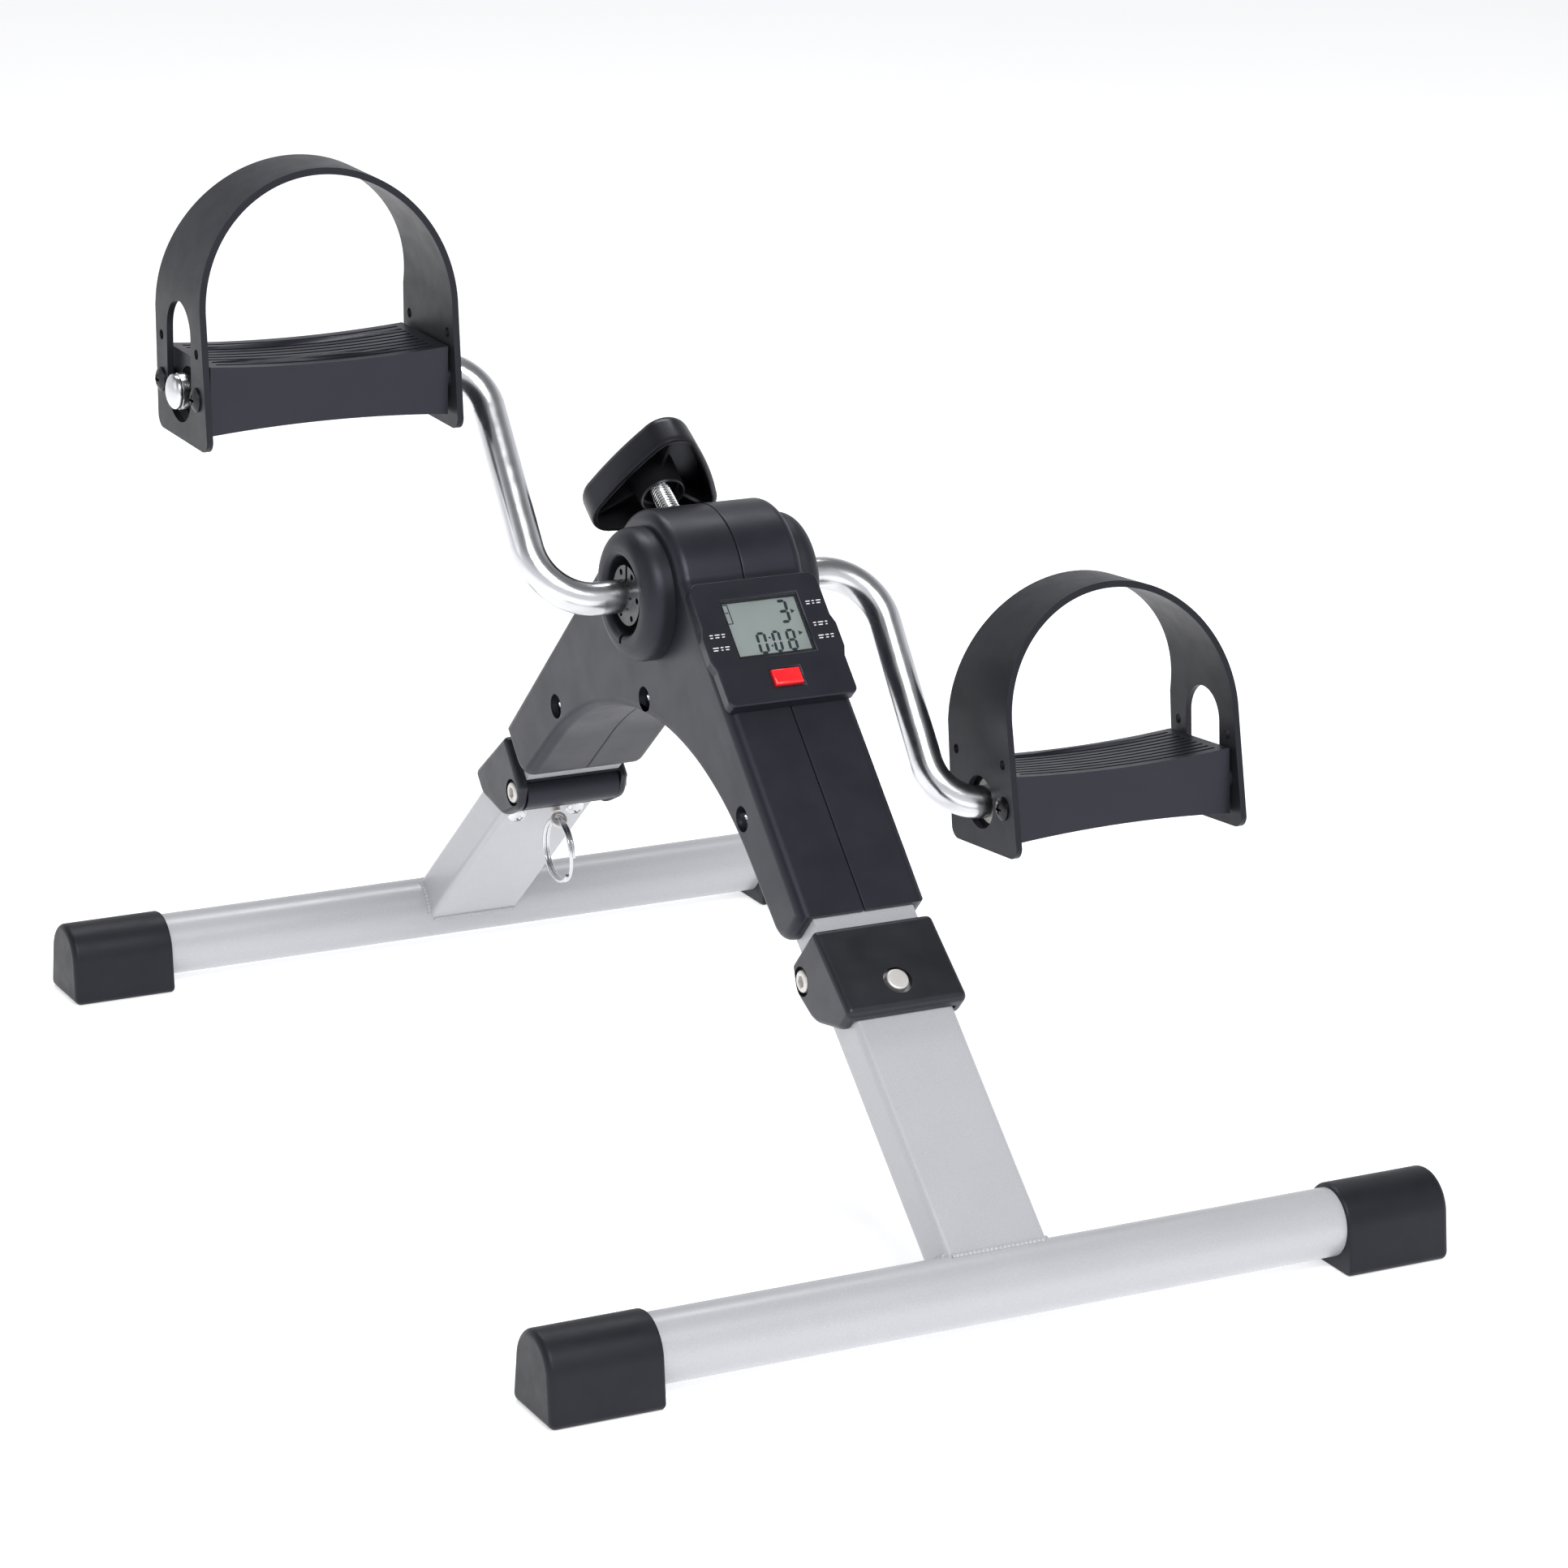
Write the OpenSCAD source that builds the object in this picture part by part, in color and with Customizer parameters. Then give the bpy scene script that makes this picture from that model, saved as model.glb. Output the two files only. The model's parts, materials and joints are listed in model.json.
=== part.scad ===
// Folding pedal exerciser: two T-shaped feet on pull-pin hinges, a two-piece
// housing over a steel A-frame, a through crank with strapped pedals, a screw
// brake with a hand knob, and a small battery display.
// Axes: X across (along the feet), -Y the display side, +Z up.
// The origin is on the floor under the middle of the housing.

/* [Feet] */
// Overall length of each foot, over its end caps
foot_length = 360; // [320:1:420]
// Distance from the middle of the frame to each foot's cross tube
foot_reach = 235; // [225:1:245]
// Outer diameter of the round cross tubes
cross_d = 25.4; // [22:0.1:28]
// Height of the cross tubes' centre line above the floor
cross_z = 16.4; // [15:0.1:18]
// Length of a rubber end cap
cap_length = 43; // [30:1:55]
// Half of the width of an end cap's flat sole
cap_half_w = 16; // [14.5:0.1:17]

/* [Legs] */
// Width of the rectangular leg tube
leg_w = 41; // [39:0.1:41]
// Thickness of the rectangular leg tube
leg_t = 18; // [17:0.1:19]
// Wall of the steel tubes
tube_wall = 1.5; // [1:0.1:2]
// Slope of the legs from horizontal
leg_angle = 41.8; // [41:0.1:42.5]

/* [Hinges] */
// Distance from the middle to each folding pivot
pivot_y = 128.2; // [127:0.1:129]
// Height of the folding pivots
pivot_z = 98.3; // [97:0.1:99]
// Width of a hinge bracket
bracket_w = 48.8; // [48.4:0.1:50]
// Diameter of the lock pin's tip
pin_d = 8.4; // [8:0.1:9]

/* [Crank] */
// Height of the crank axle
hub_z = 213; // [212:0.1:214]
// Crank radius, from axle to pedal spindle
crank_r = 100; // [85:1:105]
// Diameter of the crank bar
bar_d = 12.7; // [12:0.1:12.7]
// Distance of each crank arm from the middle plane
arm_x = 69; // [66:1:70]
// Angle of the left crank arm above horizontal
crank_angle = 53; // [0:1:90]

/* [Housing] */
// Width of the housing
shell_w = 52; // [51:0.1:54]
// Wall thickness of the housing
wall = 2.2; // [2:0.1:2.4]
// Radius of the housing's dome over the axle
dome_r = 31.5; // [30.5:0.1:32]
// Radius of the arch under the housing
arch_r = 129; // [126:1:132]

/* [Pedals] */
// Distance from the middle plane to the inner face of a foot loop
loop_in = 86.5; // [86.5:0.1:89]
// Length of a pedal over its foot loop
loop_length = 102; // [96:1:108]
// Depth of the tread, front to back
tread_depth = 44; // [43:0.5:46]
// Width of a foot loop's end plates at the bottom
plate_w = 50.7; // [49:0.1:52]
// Width of a foot loop at the top of its arch
loop_top_w = 27; // [24:1:34]
// Height of the top of a foot loop above the spindle
loop_top = 82; // [78:1:90]

/* [Brake] */
// Slope of the tension screw above horizontal
knob_angle = 33; // [30:1:36]
// Diameter of the tension screw
screw_d = 8; // [8:0.1:8.1]

/* [Hidden] */
$fn = 48;
thread_r = screw_d / 2;
bar_r = bar_d / 2;
bend_in = 23;
bend_out = 19;
fit_gap = 0.06;
leg_in = 0.9;
leg_out = leg_in + leg_t;
half_leg = leg_w / 2;
cross_a = (foot_reach - pivot_y) * cos(leg_angle) + (pivot_z - cross_z) * sin(leg_angle);
half_shell = shell_w / 2;
front_plane = 28.6;
end_a = -15;
arch_n = -3.4;
corner_r = 10;
boss_spots = [[-82, 147], [1.5, 171], [82, 147]];
boss_r = 4.6;
head_r = 4.9;
head_depth = 5.4;
bracket_top = -8.8;
bracket_end = 28.6;
bracket_n0 = 21.5;
bracket_n1 = 24.2;
cheek_in = 20.9;
barrel_r = 7.5;
leg_top = 1;
pin_a = 16.7;
pin_r = pin_d / 2;
pin_tip = 23.9;
pin_step = 15;
eye_n = -7.6;
eye_r = 4.8;
eye_bore = 2.8;
eye_t = 1.8;
ring_r = 12.8;
ring_wire = 1.2;
drum_r = 13.8;
pad_gap = 1;
magnet_at = 11.2;
bush_r = 9;
axle_gap = bar_r + fit_gap;
plate_out = 23.4;
cover_out = 37;
shoe_in = 16.8;
shoe_out = 20.4;
nut_in = 23.4;
nut_out = 27.8;
knob_in = 50;
knob_h = 14.5;
lobe_r = 11;
lobe_at = 18;
disp_w = 53;
disp_t = -43.3;
disp_n = 33.5;
case_lip = -4.7;
case_back = -10;
button_y = -16.6;
loop_t = 2.5;
tread_gap = 1.4;
tread_in = loop_in + loop_t + tread_gap;
tread_len = loop_length - 2 * (loop_t + tread_gap);
tread_top = 13.3;
tread_low = -12.6;
tread_curve = 560;
spindle_end = loop_in + loop_length - 2.5;
screw_y = 18;
screw_z = 0.7;
left_tilt = 1;
right_tilt = -5;
black = [0.09, 0.09, 0.1];
rubber = [0.13, 0.13, 0.14];
silver = [0.78, 0.79, 0.82];
chrome = [0.85, 0.86, 0.88];
steel = [0.6, 0.61, 0.63];

// ---- helpers ----

// A flat outline given in (Y, Z), swept along X from x0 to x1
module across(x0, x1) {
  translate([x0, 0, 0]) rotate([90, 0, 90]) linear_extrude(x1 - x0) children();
}

// A bar along X from x0 to x1
module rod_x(r, x0, x1) {
  translate([x0, 0, 0]) rotate([0, 90, 0]) cylinder(r = r, h = x1 - x0);
}

// A bar along the hinge frame's second axis, from n0 to n1
module rod_n(r, n0, n1) {
  translate([0, n0, 0]) rotate([-90, 0, 0]) cylinder(r = r, h = n1 - n0);
}

// A box given by its lowest and highest corners
module block(low, high) {
  translate(low) cube(high - low);
}

// Hinge frame: origin on the pivot, [x, outward from the leg, down the leg]
module at_hinge(rear = false) {
  rotate([0, 0, rear ? 180 : 0]) translate([0, -pivot_y, pivot_z])
    rotate([90 + leg_angle, 0, 0]) children();
}

// Foot frame: origin on the middle of a cross tube
module at_foot(rear = false) {
  rotate([0, 0, rear ? 180 : 0]) translate([0, -foot_reach, cross_z]) children();
}

// Brake frame: origin on the axle, Z out along the tension screw
module at_brake() {
  translate([0, 0, hub_z]) rotate([knob_angle - 90, 0, 0]) children();
}

// Display frame: origin in the middle of the display's face, Z out of the face
module at_display() {
  translate([0, 0, hub_z]) rotate([45, 0, 0]) translate([0, disp_t, disp_n]) children();
}

// Spindle frame: origin on the spindle, X from the middle plane outward
module at_spindle(left) {
  turn = left ? crank_angle : crank_angle + 180;
  translate([0, crank_r * cos(turn), hub_z + crank_r * sin(turn)])
    mirror([left ? 1 : 0, 0, 0]) children();
}

// Pedal frame: the spindle frame, tipped as the pedal hangs at rest
module at_pedal(left) {
  at_spindle(left) rotate([left ? left_tilt : right_tilt, 0, 0]) children();
}

// Points of an arc round c, from angle a0 to angle a1
function arc(c, r, a0, a1) =
  [for (i = [0 : 6]) c + r * [cos(a0 + (a1 - a0) * i / 6), sin(a0 + (a1 - a0) * i / 6)]];

// ---- housing ----

// Point of the hinge frame in the housing's (Y, Z) plane; side is -1 at the front
function hinge_point(side, a, n) = [
  side * (pivot_y + a * cos(leg_angle) + n * sin(leg_angle)),
  pivot_z - a * sin(leg_angle) + n * cos(leg_angle)];

// Where a 45 degree slope, slope_d from the axle, meets the arm's end face
function slope_end(side, a, slope_d) =
  let (reach = hub_z + slope_d * sqrt(2),
       p = hinge_point(1, a, 0),
       n = (reach - p[0] - p[1]) / (sin(leg_angle) + cos(leg_angle)))
  hinge_point(side, a, n);

module arm_corner(side, inset) {
  a0 = end_a - corner_r;
  n0 = arch_n + corner_r;
  difference() {
    polygon([hinge_point(side, a0, n0), hinge_point(side, end_a + 1, n0),
             hinge_point(side, end_a + 1, arch_n - 1), hinge_point(side, a0, arch_n - 1)]);
    translate(hinge_point(side, a0, n0)) circle(corner_r - inset);
  }
}

// Outline of the housing, moved inward by inset
module shell_outline(inset) {
  a = end_a - inset;
  n = arch_n + inset;
  front_d = front_plane - inset;
  rear_d = dome_r - inset;
  arch_z = hinge_point(1, 0, arch_n)[1]
    + (hinge_point(1, 0, arch_n)[0] - arch_r * sin(leg_angle)) * tan(leg_angle)
    - arch_r * cos(leg_angle);
  tangent = [(arch_r + inset) * sin(leg_angle), arch_z + (arch_r + inset) * cos(leg_angle)];
  apex_y = (rear_d - front_d) * sqrt(2) / 2;
  apex_z = hub_z + (rear_d + front_d) * sqrt(2) / 2;
  difference() {
    union() {
      difference() {
        polygon([slope_end(-1, a, front_d), hinge_point(-1, a, n),
                 [-tangent[0], tangent[1]], tangent,
                 hinge_point(1, a, n), slope_end(1, a, rear_d), [apex_y, apex_z]]);
        translate([-60, hub_z + 22]) square([120, 60]);
      }
      translate([0, hub_z]) circle(dome_r - inset, $fn = 96);
    }
    translate([0, arch_z]) circle(arch_r + inset, $fn = 180);
    arm_corner(-1, inset);
    arm_corner(1, inset);
  }
}

// One shell: a skin, its screw bosses, and the openings
module shell_half(left) {
  side = left ? -1 : 1;
  x_out = half_shell;
  difference() {
    union() {
      difference() {
        mirror([left ? 1 : 0, 0, 0]) across(0.05, x_out) shell_outline(0);
        mirror([left ? 1 : 0, 0, 0]) across(-1, x_out - wall) shell_outline(wall);
      }
      for (p = boss_spots) translate([0, p[0], p[1]]) {
        mirror([left ? 1 : 0, 0, 0]) rod_x(boss_r, 0.05, x_out - 1);
        if (left) rod_x(head_r + 1.3, -x_out + 1, -x_out + head_depth + 1.2);
      }
    }
    // screw holes, with a head pocket in the left shell
    for (p = boss_spots) translate([0, p[0], p[1]]) {
      rod_x(2, -x_out - 1, x_out - 6);
      if (left) rod_x(head_r, -x_out - 1, -x_out + head_depth);
    }
    // hub opening
    translate([0, 0, hub_z]) mirror([left ? 1 : 0, 0, 0]) rod_x(17.2, x_out - wall - 1, x_out + 1);
    // display opening
    at_display() block([-19.3, -22.7, case_back - 3], [19.3, 20.3, case_lip + 4]);
    // clearance for the tension screw
    at_brake() translate([0, 0, 26]) cylinder(r = 5, h = 12);
    // open mouths for the frame tubes
    for (rear = [false, true]) at_hinge(rear)
      block([-half_leg - 0.2, leg_in - 0.2, end_a - 6], [half_leg + 0.2, leg_out - 0.4, end_a + 4]);
  }
}

module housing_left() { color(black) shell_half(true); }
module housing_right() { color(black) shell_half(false); }

module housing_screws() {
  color(chrome) for (p = boss_spots) translate([0, p[0], p[1]]) difference() {
    union() {
      rod_x(4.3, -half_shell + 2.9, -half_shell + head_depth - 0.05);
      rod_x(1.95, -half_shell + head_depth - 0.1, half_shell - 8);
    }
    for (turn = [0, 90]) rotate([turn, 0, 0])
      block([-half_shell + 2, -2.3, -0.5], [-half_shell + 4.2, 2.3, 0.5]);
  }
}

// ---- steel frame ----

// One rectangular tube of the A-frame, in the hinge frame
module frame_tube() {
  top = -150;
  difference() {
    block([-half_leg, leg_in, top], [half_leg, leg_out - 0.9, bracket_top]);
    block([-half_leg + tube_wall, leg_in + tube_wall, top - 1],
          [half_leg - tube_wall, leg_out - 0.9 - tube_wall, bracket_top + 1]);
  }
}

// Bearing plate that joins both tubes and carries the axle
module bearing_plate() {
  difference() {
    union() {
      translate([0, hub_z]) circle(19);
      for (side = [-1, 1])
        polygon([hinge_point(side, -172, 3), hinge_point(side, -172, 16),
                 hinge_point(side, -120, 16), hinge_point(side, -120, 3)]);
    }
    translate([0, hub_z]) circle(bush_r);
  }
}

module upper_frame() {
  color(silver) difference() {
    union() {
      for (rear = [false, true]) at_hinge(rear) frame_tube();
      across(half_leg, plate_out) bearing_plate();
      across(-plate_out, -half_leg) bearing_plate();
    }
    for (p = boss_spots) translate([0, p[0], p[1]]) {
      rod_x(boss_r + 0.4, -30, 30);
      rod_x(head_r + 1.7, -30, -half_shell + head_depth + 1.7);
    }
  }
}

module axle_bushes() {
  color(rubber) for (side = [0, 1]) mirror([side, 0, 0]) translate([0, 0, hub_z]) difference() {
    union() {
      rod_x(bush_r - 0.02, 16, 30.5);
      rod_x(11, 23.45, 24.9);
    }
    rod_x(axle_gap, 15, 32);
  }
}

// Rounded ring over the side of the hub, with a spigot into the shell
module hub_cover() {
  rise = cover_out - half_shell - 0.1;
  inner_r = 15;
  outer_r = 25.5;
  round_out = 7;
  round_in = 2.4;
  translate([half_shell + 0.1, 0, hub_z]) rotate([0, 90, 0]) difference() {
    rotate_extrude($fn = 96) {
      translate([inner_r, 0]) square([outer_r - inner_r, rise - round_out]);
      translate([inner_r, 0]) square([outer_r - inner_r - round_out, rise - round_in]);
      translate([inner_r + round_in, rise - round_in]) circle(round_in);
      translate([inner_r, -1.6]) square([2, 2]);
      intersection() {
        translate([outer_r - round_out, rise - round_out]) circle(round_out);
        translate([inner_r + round_in, 0]) square([outer_r, rise]);
      }
    }
    block([14.4, -1, rise - 5], [18.5, 1, rise + 1]);
  }
}

module hub_cover_left() { color(black) mirror([1, 0, 0]) hub_cover(); }
module hub_cover_right() { color(black) hub_cover(); }

// ---- folding hinges ----

// Side view of a bracket in (n, a): wedge with a round nose at the pivot
module bracket_side() {
  nose = 7.6;
  intersection() {
    difference() {
      union() {
        circle(nose);
        polygon([[0, bracket_top], [bracket_n0, bracket_top], [bracket_n1, bracket_end - 1.6],
                 [bracket_n1 - 1.6, bracket_end], [14, bracket_end], [-2, 15], [-nose, 1],
                 [-nose, 0], [-nose + 1.6, -4.8], [-2.6, bracket_top]]);
      }
      translate([-20, bracket_top - 10]) square([60, 10]);
    }
    translate([7.9, 5]) circle(24.5, $fn = 96);
  }
}

// Sweeps a (n, a) outline of the hinge frame along X
module hinge_sweep(x0, x1) {
  translate([x0, 0, 0]) rotate([90, 0, 90]) linear_extrude(x1 - x0) children();
}

module bracket() {
  half = bracket_w / 2;
  tongue = -42;
  skin = 0.8;
  pocket_n = bracket_n0 + (bracket_n1 - bracket_n0) * (pin_a - bracket_top)
    / (bracket_end - 1.6 - bracket_top) - skin;
  difference() {
    union() {
      hinge_sweep(-half, half) bracket_side();
      block([-half_leg + tube_wall + 0.1, leg_in + tube_wall + 0.1, tongue],
            [half_leg - tube_wall - 0.1, leg_out - 0.9 - tube_wall - 0.1, bracket_top + 1]);
    }
    // space for the leg, open on the inner side
    block([-cheek_in, -40, leg_top - 0.3], [cheek_in, leg_out + 0.4, 60]);
    block([-cheek_in, -40, bracket_top - 1], [cheek_in, 0, 60]);
    // seat round the barrel
    rod_x(barrel_r + 0.4, -cheek_in, cheek_in);
    // end of the frame tube
    difference() {
      block([-half - 1, -30, bracket_top - 1], [half + 1, 40, bracket_top]);
      block([-half_leg + tube_wall + 0.1, leg_in + tube_wall + 0.1, bracket_top - 2],
            [half_leg - tube_wall - 0.1, leg_out - 0.9 - tube_wall - 0.1, bracket_top + 1]);
    }
    // window for the lock pin, and the pocket behind it
    translate([0, 0, pin_a + 0.25]) rod_n(5.6, 15, 30);
    intersection() {
      block([-6.4, 15, pin_a - 6.4], [6.4, pocket_n, 25.8]);
      rod_x(32.1, -7, 7);
    }
    // pivot hole and the pockets for its bolt and nut
    rod_x(3.05, -40, 40);
    rod_x(5.6, -40, -half + 2);
    rod_x(5.6, half - 2, 40);
  }
}

module front_bracket() { color(black) at_hinge() bracket(); }
module rear_bracket() { color(black) at_hinge(true) bracket(); }

// Socket-head pivot bolt; the head is on the object's left at both ends
module pivot_bolt() {
  half = bracket_w / 2;
  difference() {
    union() {
      rod_x(4.9, -half - 0.4, -half + 1.9);
      rod_x(3, -half + 1.8, half + 0.2);
    }
    rotate([0, 90, 0]) translate([0, 0, -half - 1]) cylinder(r = 2.3, h = 2.2, $fn = 6);
  }
}

module pivot_nut() {
  half = bracket_w / 2;
  difference() {
    rotate([0, 90, 0]) translate([0, 0, half - 1.9]) cylinder(r = 5.2, h = 2.3, $fn = 6);
    rod_x(3.02, 0, 40);
  }
}

module pivot_bolts() {
  color(chrome) {
    at_hinge() pivot_bolt();
    at_hinge(true) mirror([1, 0, 0]) pivot_bolt();
  }
}

module pivot_nuts() {
  color(steel) {
    at_hinge() pivot_nut();
    at_hinge(true) mirror([1, 0, 0]) pivot_nut();
  }
}

// Plug in the top of a leg, with the hinge barrel and the lock pin's bore
module leg_plug() {
  gap = 0.1;
  difference() {
    union() {
      block([-half_leg + tube_wall + gap, leg_in + tube_wall + gap, leg_top - 0.1],
            [half_leg - tube_wall - gap, leg_out - tube_wall - gap, 44]);
      rod_x(barrel_r, -20.3, 20.3);
      block([-20.3, -6, leg_top - 1], [20.3, leg_in + 4, leg_top + 3.9]);
      block([-20.3, -4.5, 0], [20.3, leg_in - 0.05, 9.5]);
    }
    rod_x(3 + fit_gap, -30, 30);
    translate([0, 0, pin_a]) {
      rod_n(pin_r + fit_gap, 4.9, 30);
      rod_n(2 + fit_gap, -10, 10);
    }
    for (x = [-13, 13]) translate([x, 0, 26]) rod_n(1.9, -5, 13);
  }
}

module leg_tube() {
  difference() {
    block([-half_leg, leg_in, leg_top], [half_leg, leg_out, cross_a]);
    block([-half_leg + tube_wall, leg_in + tube_wall, leg_top - 1],
          [half_leg - tube_wall, leg_out - tube_wall, cross_a + 1]);
    // room for the barrel and its web
    rod_x(barrel_r + 0.1, -half_leg - 1, half_leg + 1);
    block([-half_leg - 1, leg_in - 1, leg_top - 1], [half_leg + 1, leg_in + 4.1, leg_top + 4]);
    translate([0, 0, pin_a]) {
      rod_n(pin_r + fit_gap, 10, 30);
      rod_n(2 + fit_gap, -10, 10);
    }
    for (x = [-13, 13]) translate([x, 0, 26]) rod_n(1.9, -5, 6);
  }
}

module leg(rear) {
  color(silver) difference() {
    at_hinge(rear) leg_tube();
    at_foot(rear) rod_x(cross_d / 2, -40, 40);
  }
}

module plug_screws(rear) {
  color(chrome) at_hinge(rear) for (x = [-13, 13]) translate([x, 0, 26]) difference() {
    union() {
      rod_n(1.85, leg_in - 0.2, 12);
      intersection() {
        translate([0, leg_in + 2.6, 0]) sphere(5);
        block([-5, leg_in - 2.4, -5], [5, leg_in - 0.05, 5]);
      }
    }
    for (turn = [45, 135]) rotate([0, turn, 0])
      block([-2, leg_in - 3, -0.4], [2, leg_in - 1.2, 0.4]);
  }
}

// Lock pin: a stepped tip in the leg, and an eye for the ring on the inner side
module lock_pin(rear) {
  color(chrome) at_hinge(rear) translate([0, 0, pin_a]) difference() {
    union() {
      rod_n(pin_r, pin_step, pin_tip);
      rod_n(2, eye_n + eye_r - 0.6, pin_step);
      translate([0, eye_n, -eye_t / 2]) cylinder(r = eye_r, h = eye_t);
    }
    translate([0, eye_n, -eye_t]) cylinder(r = eye_bore, h = 2 * eye_t);
  }
}

module pin_spring(rear) {
  color(steel) at_hinge(rear) translate([0, 0, pin_a]) difference() {
    rod_n(3.7, 5, pin_step - 0.1);
    rod_n(2.6, 4, pin_step);
  }
}

// Pull ring that hangs straight down from the lock pin's eye
module pull_ring(rear) {
  side = rear ? 1 : -1;
  eye = hinge_point(side, pin_a, eye_n);
  color(chrome) translate([0, eye[0], eye[1] - ring_r]) rotate([0, 90, 0])
    rotate_extrude() translate([ring_r, 0]) circle(ring_wire, $fn = 24);
}

// ---- feet ----

module cross_tube(rear) {
  half = foot_length / 2 - 4;
  color(silver) at_foot(rear) difference() {
    rod_x(cross_d / 2, -half, half);
    rod_x(cross_d / 2 - tube_wall, -half - 1, half + 1);
  }
}

// Rubber end cap with a flat sole, at the +X end of a foot
module cap_solid(rim_r, sole) {
  rise = asin((sole - rim_r * 0.99) / cross_z);
  circle(rim_r);
  polygon([[-sole, -cross_z], [sole, -cross_z], [rim_r * cos(rise), rim_r * sin(rise)],
           [-rim_r * cos(rise), rim_r * sin(rise)]]);
}

module end_cap(rear, x_side) {
  rim_r = cross_d / 2 + 1.7;
  out = foot_length / 2;
  color(rubber) at_foot(rear) mirror([x_side < 0 ? 1 : 0, 0, 0]) difference() {
    union() {
      across(out - cap_length, out - 2) cap_solid(rim_r, cap_half_w);
      across(out - 2.01, out) cap_solid(rim_r - 1.5, cap_half_w - 1.5);
    }
    rod_x(cross_d / 2, out - cap_length - 1, out - 4);
  }
}

// ---- crank ----

// Half of the bent crank, from the middle plane to the pedal spindle's end
module crank_half() {
  color(chrome) translate([0, 0, hub_z]) rotate([crank_angle, 0, 0]) {
    rod_x(bar_r, 0.05, arm_x - bend_in);
    translate([arm_x - bend_in, bend_in, 0]) rotate([0, 0, -90])
      rotate_extrude(angle = 90) translate([bend_in, 0]) circle(bar_r);
    translate([arm_x, bend_in, 0]) rotate([-90, 0, 0])
      cylinder(r = bar_r, h = crank_r - bend_in - bend_out);
    translate([arm_x + bend_out, crank_r - bend_out, 0]) rotate([0, 0, 90])
      rotate_extrude(angle = 90) translate([bend_out, 0]) circle(bar_r);
    translate([0, crank_r, 0]) {
      rod_x(bar_r, arm_x + bend_out, spindle_end);
      rod_x(4, spindle_end - 1, spindle_end + 5.9);
    }
  }
}

// Turns the left crank half into the right one, half a turn round the axle
module right_crank_turn() {
  translate([0, 0, hub_z]) rotate([180, 0, 0]) translate([0, 0, -hub_z]) children();
}

module crank_left() { mirror([1, 0, 0]) crank_half(); }
module crank_right() { right_crank_turn() crank_half(); }

module brake_drum() {
  color(steel) translate([0, 0, hub_z]) difference() {
    rod_x(drum_r, -15.6, 15.6);
    rod_x(bar_r + 0.02, -20, 20);
    for (x = [-9, 9]) translate([x, 0, 0]) rotate([crank_angle, 0, 0])
      translate([0, -20, 0]) rod_n(2.02, 0, 40);
  }
}

// Grub screws that clamp the drum to the crank bar
module drum_screws() {
  color(steel) translate([0, 0, hub_z]) for (x = [-9, 9], side = [0, 180])
    translate([x, 0, 0]) rotate([crank_angle + side, 0, 0])
      rod_n(2, bar_r + 0.3, drum_r - 0.4);
}

// Slotted collars that lock the crank endwise
module axle_collars() {
  color(chrome) for (side = [0, 1]) mirror([side, 0, 0]) translate([0, 0, hub_z]) difference() {
    rod_x(11.5, 31, 34.5);
    rod_x(bar_r + 0.02, 30, 36);
    for (turn = [0 : 60 : 300]) rotate([turn, 0, 0]) translate([0, 9.3, 0]) rod_x(1.2, 32.5, 36);
    block([30, -0.8, 5], [36, 0.8, 13]);
  }
}

module spindle_nuts() {
  color(chrome) for (left = [true, false]) at_spindle(left)
    translate([spindle_end + 0.2, 0, 0]) difference() {
      union() {
        rotate([0, 90, 0]) cylinder(r = 7.4, h = 3.3, $fn = 6);
        rod_x(6.6, 3.2, 5.2);
        translate([5.1, 0, 0]) rotate([0, 90, 0]) cylinder(r1 = 6.6, r2 = 3.8, h = 1.7);
      }
      rod_x(4.02, -1, 5.8);
    }
}

// Magnet on the drum's side face, which trips the display's sensor once a turn
module trip_magnet() {
  color(steel) translate([0, 0, hub_z]) rotate([crank_angle + 90, 0, 0])
    translate([0, magnet_at, 0]) rod_x(2, 15.65, 17.6);
}

module reed_sensor() {
  color([0.1, 0.3, 0.15]) at_display() block([9, 11, -12.4], [17, 17, case_back - 0.1]);
}

// ---- pedals ----

// Slot with round ends, along Z, between z0 and z1
module slot_x(width, z0, z1, x0, x1) {
  r = width / 2;
  translate([0, 0, z0 + r]) rod_x(r, x0, x1);
  translate([0, 0, z1 - r]) rod_x(r, x0, x1);
  block([x0, -r, z0 + r], [x1, r, z1 - r]);
}

// Ribbed foot tread, open below, with a tube for the spindle
module tread() {
  x0 = tread_in;
  x1 = tread_in + tread_len;
  mid = (x0 + x1) / 2;
  half = tread_depth / 2;
  groove = 1.7;
  pitch = 4.3;
  sag = 2;
  color(black) difference() {
    union() {
      difference() {
        block([x0, -half, tread_low], [x1, half, tread_top]);
        block([x0 + 4, -half + 2.6, tread_low - 1], [x1 - 4, half - 2.6, tread_top - 5.6]);
      }
      rod_x(10.6, x0 + 1, x1 - 1);
      // spacers round the screws, up to the loop's plates
      for (side = [-1, 1]) translate([0, side * screw_y, screw_z]) {
        rod_x(3.95, x0 - tread_gap + 0.05, x0 + 1);
        rod_x(3.95, x1 - 1, x1 + tread_gap - 0.05);
      }
    }
    rod_x(bush_r, x0 - 1, x1 + 1);
    // sagging top and arched underside
    translate([mid, 0, tread_top - sag + tread_curve]) rotate([90, 0, 0])
      cylinder(r = tread_curve, h = 80, center = true, $fn = 720);
    translate([mid, 0, tread_low + sag - tread_curve]) rotate([90, 0, 0])
      cylinder(r = tread_curve, h = 80, center = true, $fn = 720);
    for (i = [-4 : 1 : 4])
      block([x0 + 4, i * pitch - groove / 2, tread_top - sag - 1.5],
            [x1 - 4, i * pitch + groove / 2, tread_top + 1]);
    for (x = [x0 - 2, x1 - 8], side = [-1, 1])
      translate([0, side * screw_y, screw_z]) rod_x(1.6, x, x + 10);
  }
}

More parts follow.
